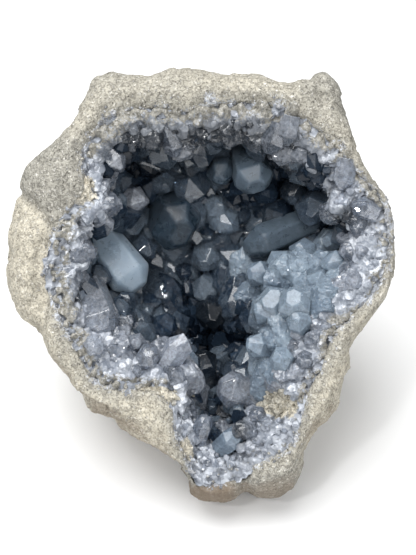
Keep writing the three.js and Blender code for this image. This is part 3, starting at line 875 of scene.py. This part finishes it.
def crystal_material(kind, crystal):
    """Celestite: a faint haze and fracture faces over a see-through body that turns blue with depth."""
    name = kind.capitalize() + " celestite"
    if name in bpy.data.materials:
        return bpy.data.materials[name]
    # Light and dark colour, share of light let through, roughness, absorption, tilt of the fracture
    # faces, gloss, strength of the mottling, and softness.
    body, dark, see_through, rough, density, tilt, gloss, mottle, soft = {
        "sugar": ((0.52, 0.525, 0.54), (0.15, 0.155, 0.165), 0.15, 0.3, 14, 0.25, 0.4, 0.4, 0.3),
        "pale": (crystal.pale, (0.20, 0.23, 0.28), 0.65, 0.08, 16, 0.12, 0.5, 0.9, 0.2),
        "clear": ((0.74, 0.79, 0.88), (0.28, 0.33, 0.41), 0.78, 0.02, 14, 0.18, 0.8, 1.0, 0),
        "blue": (crystal.blue, (0.18, 0.235, 0.30), 0.3, 0.16, 8, 0.08, 0.28, 0.6, 0.5),
        "smoky": (crystal.smoke, (0.05, 0.085, 0.14), 0.75, 0.04, 40, 0.12, 0.4, 0.5, 0),
        # Near-black crystals that paint shade into the gaps.
        "night": ((0.03, 0.05, 0.08), (0.003, 0.006, 0.012), 0.3, 0.2, 45, 0.05, 0.1, 0.2, 0),
        "milky": (crystal.slate, (0.014, 0.028, 0.044), 0.2, 0.26, 18, 0.03, 0.15, 0.12, 0.9),
    }[kind]
    plain = {"IOR": CELESTITE_IOR, "Transmission_Weight": see_through, "Specular_IOR_Level": gloss}
    material, nodes, shader = new_material(name, **plain, **subsurface(soft, 0.016 * soft))
    facets = use_group(nodes, broken_facets(), Scale=210.0, Tilt=tilt)
    patch = nodes.mix(0.5, facets["Haze"], facets["Tone"])
    patch = nodes.times(nodes.minus(patch, 0.5), mottle)
    tone = nodes.ramp(nodes.plus(nodes.attribute("tint"), patch), 0, 1)
    colour_here = nodes.mix(tone, rgba(dark), rgba(body))
    colour_here = nodes.toned(colour_here, facets["Veil"], 1 - 0.4 * mottle, 1 + 0.4 * mottle)
    colour_here = nodes.mix(nodes.times(facets["Crack"], mottle), colour_here, rgba(body))
    # Painted shade where the crystal lies under the top lip or in a gap.
    colour_here = nodes.mix(nodes.attribute("shade"), colour_here, (0.02, 0.027, 0.036, 1))
    roughness = nodes.ramp(facets["Haze"], 0, 1, rough, rough + 0.14)
    nodes.feed_all(shader, Base_Color=colour_here, Roughness=roughness, Normal=facets["Normal"])
    absorb = nodes.made("ShaderNodeVolumeAbsorption", {"Color": rgba(crystal.depth_blue), "Density": density})
    nodes.feed(nodes.tree.nodes["Material Output"].inputs["Volume"], absorb)
    return material


# ---- limestone


@once
def broken_relief(name):
    """Raises lumps, chips and grains on a broken surface, and marks its pits."""
    sizes = [(kind + part, "Float") for kind in RELIEF_KINDS for part in (" size", " height")]
    inputs = [("Geometry", "Geometry"), *sizes, ("Smooth", "Bool"), ("Material", "Material")]
    nodes, given, result = new_group(name, "GeometryNodeTree", inputs, [("Geometry", "Geometry")])
    place = nodes.made("GeometryNodeInputPosition")

    def relief(kind, detail, roughness):
        scale = nodes.over(1.0, given[kind + " size"])
        level = nodes.minus(nodes.noise(place, scale, detail, roughness), 0.5)
        return nodes.times(level, nodes.times(given[kind + " height"], 3.0))

    cells = {"Vector": place, "Scale": nodes.over(1.0, given["Chip size"])}
    cells = nodes.add("ShaderNodeTexVoronoi", cells).outputs
    from_middle = nodes.vector("SUBTRACT", place, cells["Position"])
    tilt = nodes.vector("SUBTRACT", cells["Color"], (0.5, 0.5, 0.5))
    slope = nodes.times(nodes.over(given["Chip height"], given["Chip size"]), 4.0)
    chips = nodes.times(nodes.vector("DOT_PRODUCT", from_middle, tilt), slope)
    fine = relief("Grain", 4.0, 0.7)
    total = nodes.plus(nodes.plus(relief("Lump", 3.0, 0.5), fine), chips)
    total = nodes.times(total, nodes.minus(1.0, nodes.kept("quiet")))
    pits = nodes.ramp(nodes.over(nodes.plus(fine, chips), given["Grain height"]), 0.1, -0.9)
    marked = nodes.keep(given["Geometry"], "pits", pits, "POINT")
    move = nodes.vector("SCALE", nodes.made("GeometryNodeInputNormal"), scale=total)
    raised = nodes.made("GeometryNodeSetPosition", {"Geometry": marked, "Offset": move})
    shading = {"Geometry": raised, "Shade Smooth": given["Smooth"]}
    smooth = nodes.made("GeometryNodeSetShadeSmooth", shading)
    return nodes.feed_all(result, Geometry=nodes.dressed(smooth, given["Material"]))


def roughen(piece, relief, smooth, material):
    """Gives a piece the broken relief, from the width and height of its lumps, chips and grains."""
    values = {"Smooth": smooth, "Material": material}
    for kind, (size, height) in zip(RELIEF_KINDS, relief):
        values.update({kind + " size": size, kind + " height": height})
    use_tree(piece, broken_relief(), values)


def carve(points, normals):
    """Sinks the grooves and ledges that the break left round the mouth."""
    on_face = world_to_face(points)
    sunk = np.zeros(len(points))
    for line, depth, width in GROOVES:
        away, _ = distance_to_line(on_face[:, :2], line)
        sunk += depth * np.exp(-((away / width) ** 2))
    for line, depth, width in LEDGES:
        away, side = distance_to_line(on_face[:, :2], line)
        fade = 1 - smoothstep(away, 10, 26)
        sunk += depth * fade * smoothstep(-side * away, -width, width)
    front = smoothstep(on_face[:, 2], -70, -40)
    return points - normals * (sunk * front / 1000)[:, None]


class GEODE_OT_limestone(bpy.types.Operator):
    """Finish the broken limestone nodule"""

    bl_idname = "geode.limestone"
    bl_label = "Limestone"

    def execute(self, context):
        stone = context.scene.geode_stone
        shell = bmesh.new()
        shell.from_mesh(frame["nodes"]["limestone_nodule"].data)
        bmesh.ops.remove_doubles(shell, verts=shell.verts, dist=1e-6)
        piece = new_piece("limestone", from_bmesh("limestone", shell))
        grow_together(piece, stone.voxel, rounds=12)
        mesh = piece.data
        move_vertices(mesh, carve(vertex_positions(mesh), vertex_normals(mesh)))
        self.mark(mesh)
        kinds = [kind.lower() for kind in RELIEF_KINDS]
        relief = [(getattr(stone, kind + "_size"), getattr(stone, kind + "_height")) for kind in kinds]
        roughen(piece, relief, True, limestone_material(stone, context.scene.geode_crystal))
        points = vertex_positions(settle(piece).data)
        points[:, 2] = np.maximum(points[:, 2], 0)
        move_vertices(piece.data, points)
        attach(piece, "root")
        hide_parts("limestone_nodule")
        return {"FINISHED"}

    @staticmethod
    def mark(mesh):
        """Marks where the stone is sugared, weathered, painted with shade underneath and at its foot, and
        where it stays smooth.
        """
        points, normals = vertex_positions(mesh), vertex_normals(mesh)
        on_face, fine = world_to_face(points), points * 1000
        x, y, z = on_face.T
        beyond = -inside_mouth(x, y)
        front = smoothstep(z, -40, -15)
        edge = beyond + (5 * lumps(on_face, 13) + 3 * lumps(on_face, 4))
        near_mouth = 0.8 * front * (1 - smoothstep(edge, 3, 15))
        away, side = distance_to_line(on_face[:, :2], GROOVES[0][0])
        off_lobe = np.where(x < -60, smoothstep(side * away, -4, 4), 1)
        facet = smoothstep(-x, 30, 75) * smoothstep(y, -30, 25) * (1 - 0.8 * smoothstep(y, 80, 100))
        horn = smoothstep(x, 48, 62) * smoothstep(y, 70, 90)
        foot = smoothstep(-y + 5 * lumps(fine, 14), 92, 112)
        dusty = np.clip(facet + 0.6 * smoothstep(y, 80, 105) + 0.4 * horn + foot, 0, 1)
        dusty = np.clip(dusty + 0.3 * lumps(fine, 26), 0, 1)
        # Painted shade: the undersides that face the foot, and the foot itself, are darkened and browned as
        # by bounce light from a table.
        facing_foot = -(normals[:, 1] + normals[:, 2]) * math.sqrt(0.5)
        below = smoothstep(facing_foot + 0.2 * lumps(fine, 8), 0.35, 0.85) * smoothstep(-y, 20, 60)
        shade_at_foot = 1.5 * smoothstep(4 * lumps(fine, 7) - y, 113, 122) * (1 - smoothstep(x, 12, 28))
        hidden = (beyond < -1) & (z > -WALL_DEPTH - 2)
        store(
            mesh,
            sugar=0.75 * front * (1 - smoothstep(edge, -3, 5)),
            weathered=off_lobe * np.maximum(dusty, near_mouth),
            under=np.maximum(below, shade_at_foot * smoothstep(z, -80, -50)),
            quiet=np.maximum(hidden, 1 - smoothstep(points[:, 2], 0.0002, 0.0015)),
            growth=np.ones(len(points)),
        )


# ---- crystals


def crystal_points(width, thickness, tall, root, blunt):
    """Corners of one celestite crystal along z: a flattened six-sided prism with a roof of faces."""
    a, b = width / 2, thickness / 2
    corners = [(a, 0), (0.6 * a, b), (-0.6 * a, b), (-a, 0), (-0.6 * a, -b), (0.6 * a, -b)]
    fall = 0.85 - 0.35 * blunt
    points = [(0.85 * x, 0.85 * y, -root) for x, y in corners]
    points += [(x, y, max(0.1 * tall, tall - fall * abs(x) - 0.4 * abs(y))) for x, y in corners]
    for x in (0.35 * a * blunt, -0.35 * a * blunt):
        points += [(x, 0.45 * b, tall), (x, -0.45 * b, tall), (1.7 * x, 0.05 * b, tall)]
    return points


def solid_round(points, worn=0.0, steps=2):
    """The closed solid round some corners, its edges worn by a width."""
    solid = bmesh.new()
    for point in points:
        solid.verts.new(point)
    bmesh.ops.remove_doubles(solid, verts=solid.verts, dist=1e-5)
    hull = bmesh.ops.convex_hull(solid, input=solid.verts)
    inside = {v for v in hull["geom_interior"] + hull["geom_unused"] if isinstance(v, bmesh.types.BMVert)}
    bmesh.ops.delete(solid, geom=list(inside), context="VERTS")
    bmesh.ops.dissolve_limit(solid, angle_limit=math.radians(1), verts=solid.verts, edges=solid.edges)
    if worn:
        shape = {"segments": steps, "profile": 0.5, "affect": "EDGES", "clamp_overlap": True}
        bmesh.ops.bevel(solid, geom=solid.edges, offset=worn, **shape)
    bmesh.ops.recalc_face_normals(solid, faces=solid.faces)
    return solid


def standing(foot, axis, turn):
    """The place of a crystal that stands on a foot, points along an axis and is turned about it."""
    lean = Vector((0, 0, 1)).rotation_difference(Vector(axis).normalized()).to_matrix().to_4x4()
    return Matrix.Translation(foot) @ lean @ Matrix.Rotation(turn, 4, "Z")


def bed_finder():
    """Finds the bed under a point of the face."""
    bed, _ = bed_surface(FINDER_COLUMNS, FINDER_ROWS)
    faces = ring_faces(FINDER_ROWS, FINDER_COLUMNS, ((0, 0), (0, 1), (1, 1), (1, 0)))
    return BVHTree.FromPolygons([tuple(p) for p in bed.reshape(-1, 3)], faces)


def crust_piece(piece):
    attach(piece, "root")
    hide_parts("celestite_crust")
    return piece


class GEODE_OT_large_crystals(bpy.types.Operator):
    """Stand the largest crystals on the bed"""

    bl_idname = "geode.large_crystals"
    bl_label = "Large crystals"

    def execute(self, context):
        finder = bed_finder()
        for kind, crystals in LARGE_CRYSTALS.items():
            smooth = kind == "milky"
            joined = bmesh.new()
            tints = []
            for foot, tip, rise, width, thickness, turn, blunt, light in crystals:
                hit = finder.ray_cast(Vector((*foot, 70)), Vector((0, 0, -1)))[0] or Vector((*foot, -8))
                axis = Vector((tip[0] - foot[0], tip[1] - foot[1], rise))
                corners = crystal_points(width, thickness, axis.length, LARGE_CRYSTAL_ROOT, blunt)
                worn = (MILKY_WORN_SHARE * width, 4) if smooth else (WORN_EDGE, 2)
                solid = solid_round(corners, *worn)
                along = np.clip([corner.co.z / axis.length for corner in solid.verts], 0, 1)
                # Lighter towards the foot; on milky crystals the steeper rise is partly painted light,
                # lifting the foot out of the rim's shadow.
                tints.append(light * (1.25 - 0.55 * along if smooth else 1.1 - 0.3 * along))
                solid.transform(standing(hit, axis, math.radians(turn)))
                part = from_bmesh("part", solid)
                joined.from_mesh(part)
                bpy.data.meshes.remove(part)
            mesh = from_bmesh(kind + "_crystals", joined)
            points = vertex_positions(mesh)
            move_vertices(mesh, face_to_world(points))
            # Painted shade in the deep gaps.
            painted_gap_shade = 0.9 * smoothstep(within(points, PAINTED_SHADE_GAPS), 0.15, 0.6)
            painted_gap_shade = painted_gap_shade * smoothstep(-points[:, 2], 26, 46)
            # Painted shade under the top lip, and in the gaps.
            shade = np.maximum(painted_gap_shade, 0.35 * smoothstep(points[:, 1], 65, 92))
            store(mesh, shade=shade, tint=np.concatenate(tints))
            mesh.materials.append(crystal_material(kind, context.scene.geode_crystal))
            crust_piece(new_piece(kind + "_crystals", mesh))
        return {"FINISHED"}


class GEODE_OT_bed(bpy.types.Operator):
    """Lay the fine-grained bed that all the crystals grew from"""

    bl_idname = "geode.bed"
    bl_label = "Crystal bed"

    def execute(self, context):
        front, share = bed_surface(BED_COLUMNS, BED_ROWS)
        back = wall_surface(BED_COLUMNS, BACK_ROWS, BACK_IN_STONE)
        rings = np.concatenate([back[1:-1][::-1], front[:-1]])
        behind, bottom = [[0, 0, -WALL_DEPTH - BACK_IN_STONE]], front[-1, :1]
        points = np.vstack([behind, rings.reshape(-1, 3), bottom])
        last = len(points) - 1
        around = [(column, (column + 1) % BED_COLUMNS) for column in range(BED_COLUMNS)]
        faces = [(0, 1 + here, 1 + there) for here, there in around]
        faces += ring_faces(len(rings), BED_COLUMNS, ((0, 1), (0, 0), (1, 0), (1, 1)), 1)
        faces += [(last - BED_COLUMNS + there, last - BED_COLUMNS + here, last) for here, there in around]
        unseen = np.full(last - share[:-1].size, -1.0)
        shell = bmesh.new()
        shell.from_mesh(new_mesh("shell", face_to_world(points), faces))
        bmesh.ops.recalc_face_normals(shell, faces=shell.faces)
        mesh = from_bmesh("crystal_bed", shell)
        self.mark(mesh, points, np.concatenate([unseen, share[:-1].ravel(), [1.0]]))
        piece = new_piece("crystal_bed", mesh)
        material = bed_material(context.scene.geode_stone, context.scene.geode_crystal)
        roughen(piece, BED_RELIEF, False, material)
        crust_piece(settle(piece))
        return {"FINISHED"}

    @staticmethod
    def mark(mesh, points, inside):
        """Marks the bed's depth and painted shade, its bare patches, and where each size of crystal grows."""
        x, y, z = points.T
        shown = inside >= 0
        near = np.full(len(points), np.inf)
        for foot, tip, _, width, *_ in sum(LARGE_CRYSTALS.values(), []):
            run = np.subtract(tip, foot)
            along = np.clip((points[:, :2] - foot) @ run / max(run @ run, 1), 0, 0.7)
            apart = points[:, :2] - foot - along[:, None] * run
            near = np.minimum(near, np.hypot(apart[:, 0], apart[:, 1]) / (0.5 * width))
        rough = 0.35 * lumps(points, 7) + 0.2 * lumps(points, 3)
        uneven, fine_uneven = 6 * lumps(points, 12), lumps(points, 10)
        bare = smoothstep(within(points, MATRIX_PATCHES) + rough, 0.42, 0.62) * shown
        high = 0.08 * smoothstep(y, 40, 80)
        inner = smoothstep(inside + high + 0.05 * fine_uneven, 0.12, 0.26)
        on_blue = smoothstep(within(points, BLUE_BANKS) + 0.5 * rough, 0.3, 0.5)
        on_pale = smoothstep(within(points, PALE_BANKS) + 0.5 * rough, 0.3, 0.5)
        # Painted shade under the top lip, on the left wall and towards the bottom of the hollow, where the
        # bed is painted nearly black.
        shade_under_lip = smoothstep(y + uneven, 35, 55)
        shade_on_left_wall = smoothstep(-x + uneven, 30, 50) * smoothstep(y + uneven, -28, -12)
        deep = smoothstep(uneven - z, 26, 46) * (1 - np.maximum(on_blue, on_pale))
        shaded_side = np.maximum(deep, np.maximum(shade_under_lip, shade_on_left_wall))
        deep = np.maximum(deep, inner * shaded_side)
        lip = smoothstep(inside, 0.06, 0.1) * (1 - smoothstep(inside + 0.04 * fine_uneven, 0.2, 0.27))
        lip = np.maximum(lip, inner * (1 - shaded_side) * (1 - on_blue))
        # Painted shade in the gaps, and at both ends of the hollow.
        at_ends = 0.9 * smoothstep(np.abs(y + 3), 57, 72)
        gap = np.maximum(deep, at_ends) * smoothstep(within(points, PAINTED_SHADE_GAPS) + 0.4 * rough, 0.15, 0.6)
        deep = np.maximum(deep, gap)
        room = smoothstep(near, 0.5, 0.9) * shown * (1 - bare)
        top = smoothstep(y + 5 * lumps(points, 14), 68, 92)
        grown = smoothstep(inside, 0.02, 0.16)
        smaller = 1 - 0.3 * smoothstep(-y, 62, 80)
        store(
            mesh,
            bare=bare,
            deep=deep,
            inner=inner * np.maximum(on_blue, deep),
            # Painted shade under the top lip.
            shade=0.45 * top * smoothstep(inside, 0.02, 0.1),
            growth=smaller * np.maximum(0.4 + 0.25 * top, 0.4 + 0.6 * grown),
            rim=room * smoothstep(inside, 0.005, 0.03) * (1 - inner) * (1 - deep),
            bank=room * inner * (1 - shaded_side) * on_blue,
            lip=room * lip * (1 - gap),
            bottom=room * deep * (1 - gap) * smoothstep(inside, 0.15, 0.24),
            gap=room * gap,
            quiet=1 - shown,
        )


@once
def strewn_shapes(name):
    """Strews shapes over a surface, each with its own size, tilt, turn and tint."""
    numbers = [(number, "Float") for number in ("Spacing", "Size", "Uneven", "Tilt")]
    inputs = [("Geometry", "Geometry"), ("Shapes", "Collection"), ("Cover", "String"), *numbers]
    inputs += [("Seed", "Int"), ("Material", "Material")]
    nodes, given, result = new_group(name, "GeometryNodeTree", inputs, [("Geometry", "Geometry")])

    def by_chance(kind, low, high, salt):
        lowest, highest, output = (0, 1, 0) if kind == "FLOAT_VECTOR" else (2, 3, 1)
        values = {lowest: low, highest: high, "Seed": nodes.plus(given["Seed"], salt)}
        return nodes.add("FunctionNodeRandomValue", values, data_type=kind).outputs[output]

    spots = {"Mesh": given["Geometry"], "Distance Min": given["Spacing"], "Seed": given["Seed"]}
    spots.update({"Density Max": MOST_STREWN, "Density Factor": nodes.kept(given["Cover"])})
    spots = nodes.add("GeometryNodeDistributePointsOnFaces", spots, distribute_method="POISSON").outputs
    back, ahead = nodes.times(given["Tilt"], -1.0), given["Tilt"]
    low = nodes.made("ShaderNodeCombineXYZ", {0: back, 1: back})
    high = nodes.made("ShaderNodeCombineXYZ", {0: ahead, 1: ahead, 2: 2 * math.pi})
    swing = nodes.made("FunctionNodeEulerToRotation", {0: by_chance("FLOAT_VECTOR", low, high, 11.0)})
    turned = {"Rotation": spots["Rotation"], "Rotate By": swing}
    turned = nodes.made("FunctionNodeRotateRotation", turned, rotation_space="LOCAL")
    least, most = nodes.minus(1.0, given["Uneven"]), nodes.plus(1.0, given["Uneven"])
    size = nodes.times(given["Size"], by_chance("FLOAT", least, most, 23.0))
    size = nodes.times(size, nodes.kept("growth"))
    shapes = {"Collection": given["Shapes"], "Separate Children": True, "Reset Children": True}
    placed = {
        "Points": spots["Points"],
        "Instance": nodes.made("GeometryNodeCollectionInfo", shapes),
        "Pick Instance": True,
        "Rotation": turned,
        "Scale": nodes.made("ShaderNodeCombineXYZ", {0: size, 1: size, 2: size}),
    }
    placed = nodes.made("GeometryNodeInstanceOnPoints", placed)
    tinted = nodes.keep(placed, "tint", by_chance("FLOAT", 0.0, 1.0, 37.0), "INSTANCE")
    real = nodes.made("GeometryNodeRealizeInstances", {"Geometry": tinted})
    return nodes.feed_all(result, Geometry=nodes.dressed(real, given["Material"]))


def small_crystals():
    """Small crystals one unit wide, of several habits, some of them broken off."""
    chance = random.Random(8)
    for number in range(CRYSTAL_SHAPES):
        tall = chance.uniform(0.45, 0.95)
        corners = crystal_points(1, chance.uniform(0.6, 0.95), tall, 0.5, chance.choice([0.1, 0.4, 0.7, 1]))
        solid = solid_round([[value + chance.uniform(-0.08, 0.08) for value in corner] for corner in corners])
        if number % 3 == 2:
            tilt = Vector((chance.uniform(-0.5, 0.5), chance.uniform(-0.5, 0.5), 1)).normalized()
            parts = solid.verts[:] + solid.edges[:] + solid.faces[:]
            middle = (0, 0, 0.62 * tall)
            cut = bmesh.ops.bisect_plane(solid, geom=parts, plane_co=middle, plane_no=tilt, clear_outer=True)
            ring = [edge for edge in cut["geom_cut"] if isinstance(edge, bmesh.types.BMEdge)]
            bmesh.ops.contextual_create(solid, geom=ring)
            bmesh.ops.recalc_face_normals(solid, faces=solid.faces)
        yield from_bmesh("small crystal", solid)


def crumbs():
    """Rough crumbs of limestone one unit wide."""
    for number in range(CRUMB_SHAPES):
        chance = random.Random(number)
        corners = [Vector([chance.uniform(-0.5, 0.5) for _ in range(3)]) for _ in range(16)]
        yield from_bmesh("crumb", solid_round(corners))


def strew(name, shapes, ground, **values):
    """Strews shapes over a surface and returns them as one plain piece."""
    collection = bpy.data.collections.new(name)
    bpy.context.scene.collection.children.link(collection)
    for shape in shapes:
        collection.objects.link(bpy.data.objects.new(shape.name, shape))
    piece = new_piece(name, bpy.data.objects[ground].data.copy())
    values = {socket.capitalize(): value for socket, value in values.items()}
    use_tree(piece, strewn_shapes(), {**values, "Shapes": collection})
    settle(piece)
    for shape in list(collection.objects):
        bpy.data.objects.remove(shape)
    bpy.data.collections.remove(collection)
    attributes = piece.data.attributes
    spare = [a.name for a in attributes if a.data_type == "FLOAT" and a.name not in ("tint", "shade")]
    for attribute in spare:
        attributes.remove(attributes[attribute])
    return piece


def sizes(crystal, kind, salt):
    """Spacing, size and seed of a kind of small crystals."""
    spacing, size = getattr(crystal, kind + "_spacing"), getattr(crystal, kind + "_size")
    return {"spacing": spacing, "size": size, "seed": crystal.seed + salt}


class GEODE_OT_druse(bpy.types.Operator):
    """Cover the bed with small and medium crystals"""

    bl_idname = "geode.druse"
    bl_label = "Druse"

    def execute(self, context):
        crystal = context.scene.geode_crystal
        for salt, (name, (cover, finish, kind, tilt)) in enumerate(DRUSES.items()):
            values = {"cover": cover, "uneven": 0.35, "tilt": tilt, **sizes(crystal, kind, salt)}
            material = crystal_material(finish, crystal)
            crust_piece(strew(name, small_crystals(), "crystal_bed", **values, material=material))
        return {"FINISHED"}


class GEODE_OT_masses(bpy.types.Operator):
    """Grow the crystals that run into one another, round the mouth and on the banks"""

    bl_idname = "geode.masses"
    bl_label = "Grown-together crystals"

    def execute(self, context):
        crystal = context.scene.geode_crystal
        pieces = {
            "fractured_rim": ("rim", fractured_material(context.scene.geode_stone, crystal)),
            "pale_lip": ("lip", crystal_material("pale", crystal)),
            "blue_banks": ("bank", crystal_material("blue", crystal)),
        }
        for number, (name, (cover, material)) in enumerate(pieces.items(), 1):
            self.grow(name, cover, material, sizes(crystal, cover, 10 * number))
        return {"FINISHED"}

    @staticmethod
    def grow(name, cover, material, values):
        """Strews crystals, joins them in one skin and gives it a fine relief."""
        values = {"cover": cover, "uneven": 0.45, "tilt": 0.8, **values, "material": material}
        piece = strew(name, small_crystals(), "crystal_bed", **values)
        loose = piece.data.copy()
        mesh = grow_together(piece, SKIN_STEP, rounds=2).data
        places = vertex_positions(mesh)
        points = world_to_face(places)
        x, y, _ = points.T
        to_edge = inside_mouth(x, y)
        reach = 11 + 8 * smoothstep(-x, 60, 85) + 4 * smoothstep(y, 70, 90)
        # Painted shade under the top lip, away from its very edge.
        painted_shade_under_top = smoothstep(y + 5 * lumps(points, 14), 68, 92) * smoothstep(to_edge, 2, 12)
        # Painted shade in the gaps.
        painted_gap_shade = smoothstep(within(points, PAINTED_SHADE_GAPS), 0.3, 0.8)
        store(
            mesh,
            tint=nearest_tints(loose, places),
            stony=1 - smoothstep(to_edge + 5 * lumps(points, 9), 0.1 * reach, reach),
            shade=np.maximum(0.85 * painted_shade_under_top, 0.7 * painted_gap_shade),
        )
        roughen(piece, SKIN_RELIEF, False, material)
        piece.modifiers.new("Flat faces", "DECIMATE").ratio = FACES_KEPT
        crust_piece(settle(piece))


class GEODE_OT_sugar(bpy.types.Operator):
    """Scatter fine crystals over the inner edge of the limestone"""

    bl_idname = "geode.sugar"
    bl_label = "Sugar crystals"

    def execute(self, context):
        crystal = context.scene.geode_crystal
        values = {"cover": "sugar", "spacing": SUGAR_SPACING, "size": crystal.sugar_size, "uneven": 0.5}
        values.update(tilt=1.2, seed=crystal.seed + 40, material=crystal_material("sugar", crystal))
        crust_piece(strew("sugar_crystals", small_crystals(), "limestone", **values))
        return {"FINISHED"}


class GEODE_OT_crumbs(bpy.types.Operator):
    """Strew crumbs of limestone over the crystals"""

    bl_idname = "geode.crumbs"
    bl_label = "Limestone crumbs"

    def execute(self, context):
        values = {"cover": "bare", "spacing": CRUMB_SPACING, "size": CRUMB_SIZE, "uneven": 0.5, "tilt": 1.5}
        seed = context.scene.geode_crystal.seed + 50
        material = crumb_material(context.scene.geode_stone)
        piece = strew("limestone_crumbs", crumbs(), "crystal_bed", **values, seed=seed, material=material)
        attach(piece, "root")
        return {"FINISHED"}


# ---- studio


def area_light(name, place, size, power):
    light = bpy.data.lights.new(name, "AREA")
    light.shape = "DISK"
    light.size = size
    light.energy = power
    lamp = bpy.data.objects.new(name, light)
    aim = (FACE_MIDDLE - Vector(place)).to_track_quat("-Z", "Y").to_matrix().to_4x4()
    lamp.matrix_world = Matrix.Translation(place) @ aim
    bpy.context.scene.collection.objects.link(lamp)


class GEODE_OT_studio(bpy.types.Operator):
    """Set the floor, the lights and the camera"""

    bl_idname = "geode.studio"
    bl_label = "Studio"

    def execute(self, context):
        studio = context.scene.geode_studio
        corners = [(FLOOR_REACH * x, FLOOR_REACH * y, 0) for x, y in ((-1, -1), (1, -1), (1, 1), (-1, 1))]
        floor = new_piece("floor", new_mesh("floor", corners, [(0, 1, 2, 3)]))
        finish = new_material("Studio floor", Base_Color=rgba(studio.floor), Roughness=0.8)[0]
        floor.data.materials.append(finish)
        floor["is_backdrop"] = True
        world = bpy.data.worlds.new("Pale room")
        world.use_nodes = True
        room = world.node_tree.nodes["Background"].inputs
        room["Color"].default_value = ROOM_LIGHT
        room["Strength"].default_value = studio.room
        context.scene.world = world
        for name, (place, size) in LIGHTS.items():
            area_light(name.capitalize() + " light", place, size, getattr(studio, name + "_power"))
        camera_data = bpy.data.cameras.new("Camera")
        camera_data.sensor_fit = "VERTICAL"
        camera_data.angle_y = 2 * math.atan(studio.view_height / 2 / studio.camera_distance)
        camera = bpy.data.objects.new("Camera", camera_data)
        place = face_to_world([(*VIEW_MIDDLE, 1000 * studio.camera_distance)])[0]
        camera.matrix_world = Matrix.Translation(place) @ Matrix.Rotation(LEAN_BACK, 4, "X")
        context.scene.collection.objects.link(camera)
        context.scene.camera = camera
        context.scene.view_settings.view_transform = "Standard"
        return {"FINISHED"}


# ---- panel and registration

SETTINGS = {
    "geode_stone": LimestoneSettings,
    "geode_crystal": CrystalSettings,
    "geode_studio": StudioSettings,
}
OPERATORS = [
    GEODE_OT_limestone,
    GEODE_OT_bed,
    GEODE_OT_large_crystals,
    GEODE_OT_druse,
    GEODE_OT_masses,
    GEODE_OT_sugar,
    GEODE_OT_crumbs,
    GEODE_OT_studio,
]


class GEODE_PT_panel(bpy.types.Panel):
    """The geode's settings and its pieces"""

    bl_label = "Celestite geode"
    bl_idname = "GEODE_PT_panel"
    bl_space_type = "VIEW_3D"
    bl_region_type = "UI"
    bl_category = "Geode"

    def draw(self, context):
        for name, group in SETTINGS.items():
            box = self.layout.box()
            for setting in group.__annotations__:
                box.prop(getattr(context.scene, name), setting)
        for operator in OPERATORS:
            self.layout.operator(operator.bl_idname)


CLASSES = [*SETTINGS.values(), *OPERATORS, GEODE_PT_panel]


def register():
    for item in CLASSES:
        bpy.utils.register_class(item)
    for name, group in SETTINGS.items():
        setattr(bpy.types.Scene, name, PointerProperty(type=group))


def unregister():
    for name in SETTINGS:
        delattr(bpy.types.Scene, name)
    for item in reversed(CLASSES):
        bpy.utils.unregister_class(item)


def main():
    register()
    bpy.ops.geode.limestone()
    bpy.ops.geode.bed()
    bpy.ops.geode.large_crystals()
    bpy.ops.geode.druse()
    bpy.ops.geode.masses()
    bpy.ops.geode.sugar()
    bpy.ops.geode.crumbs()
    bpy.ops.geode.studio()
    boxes = {
        name: [[float(value) for value in corner] for corner in box]
        for name, box in (("cad", CAD_BOX), ("visual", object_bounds()))
    }


if __name__ == "__main__":
    main()
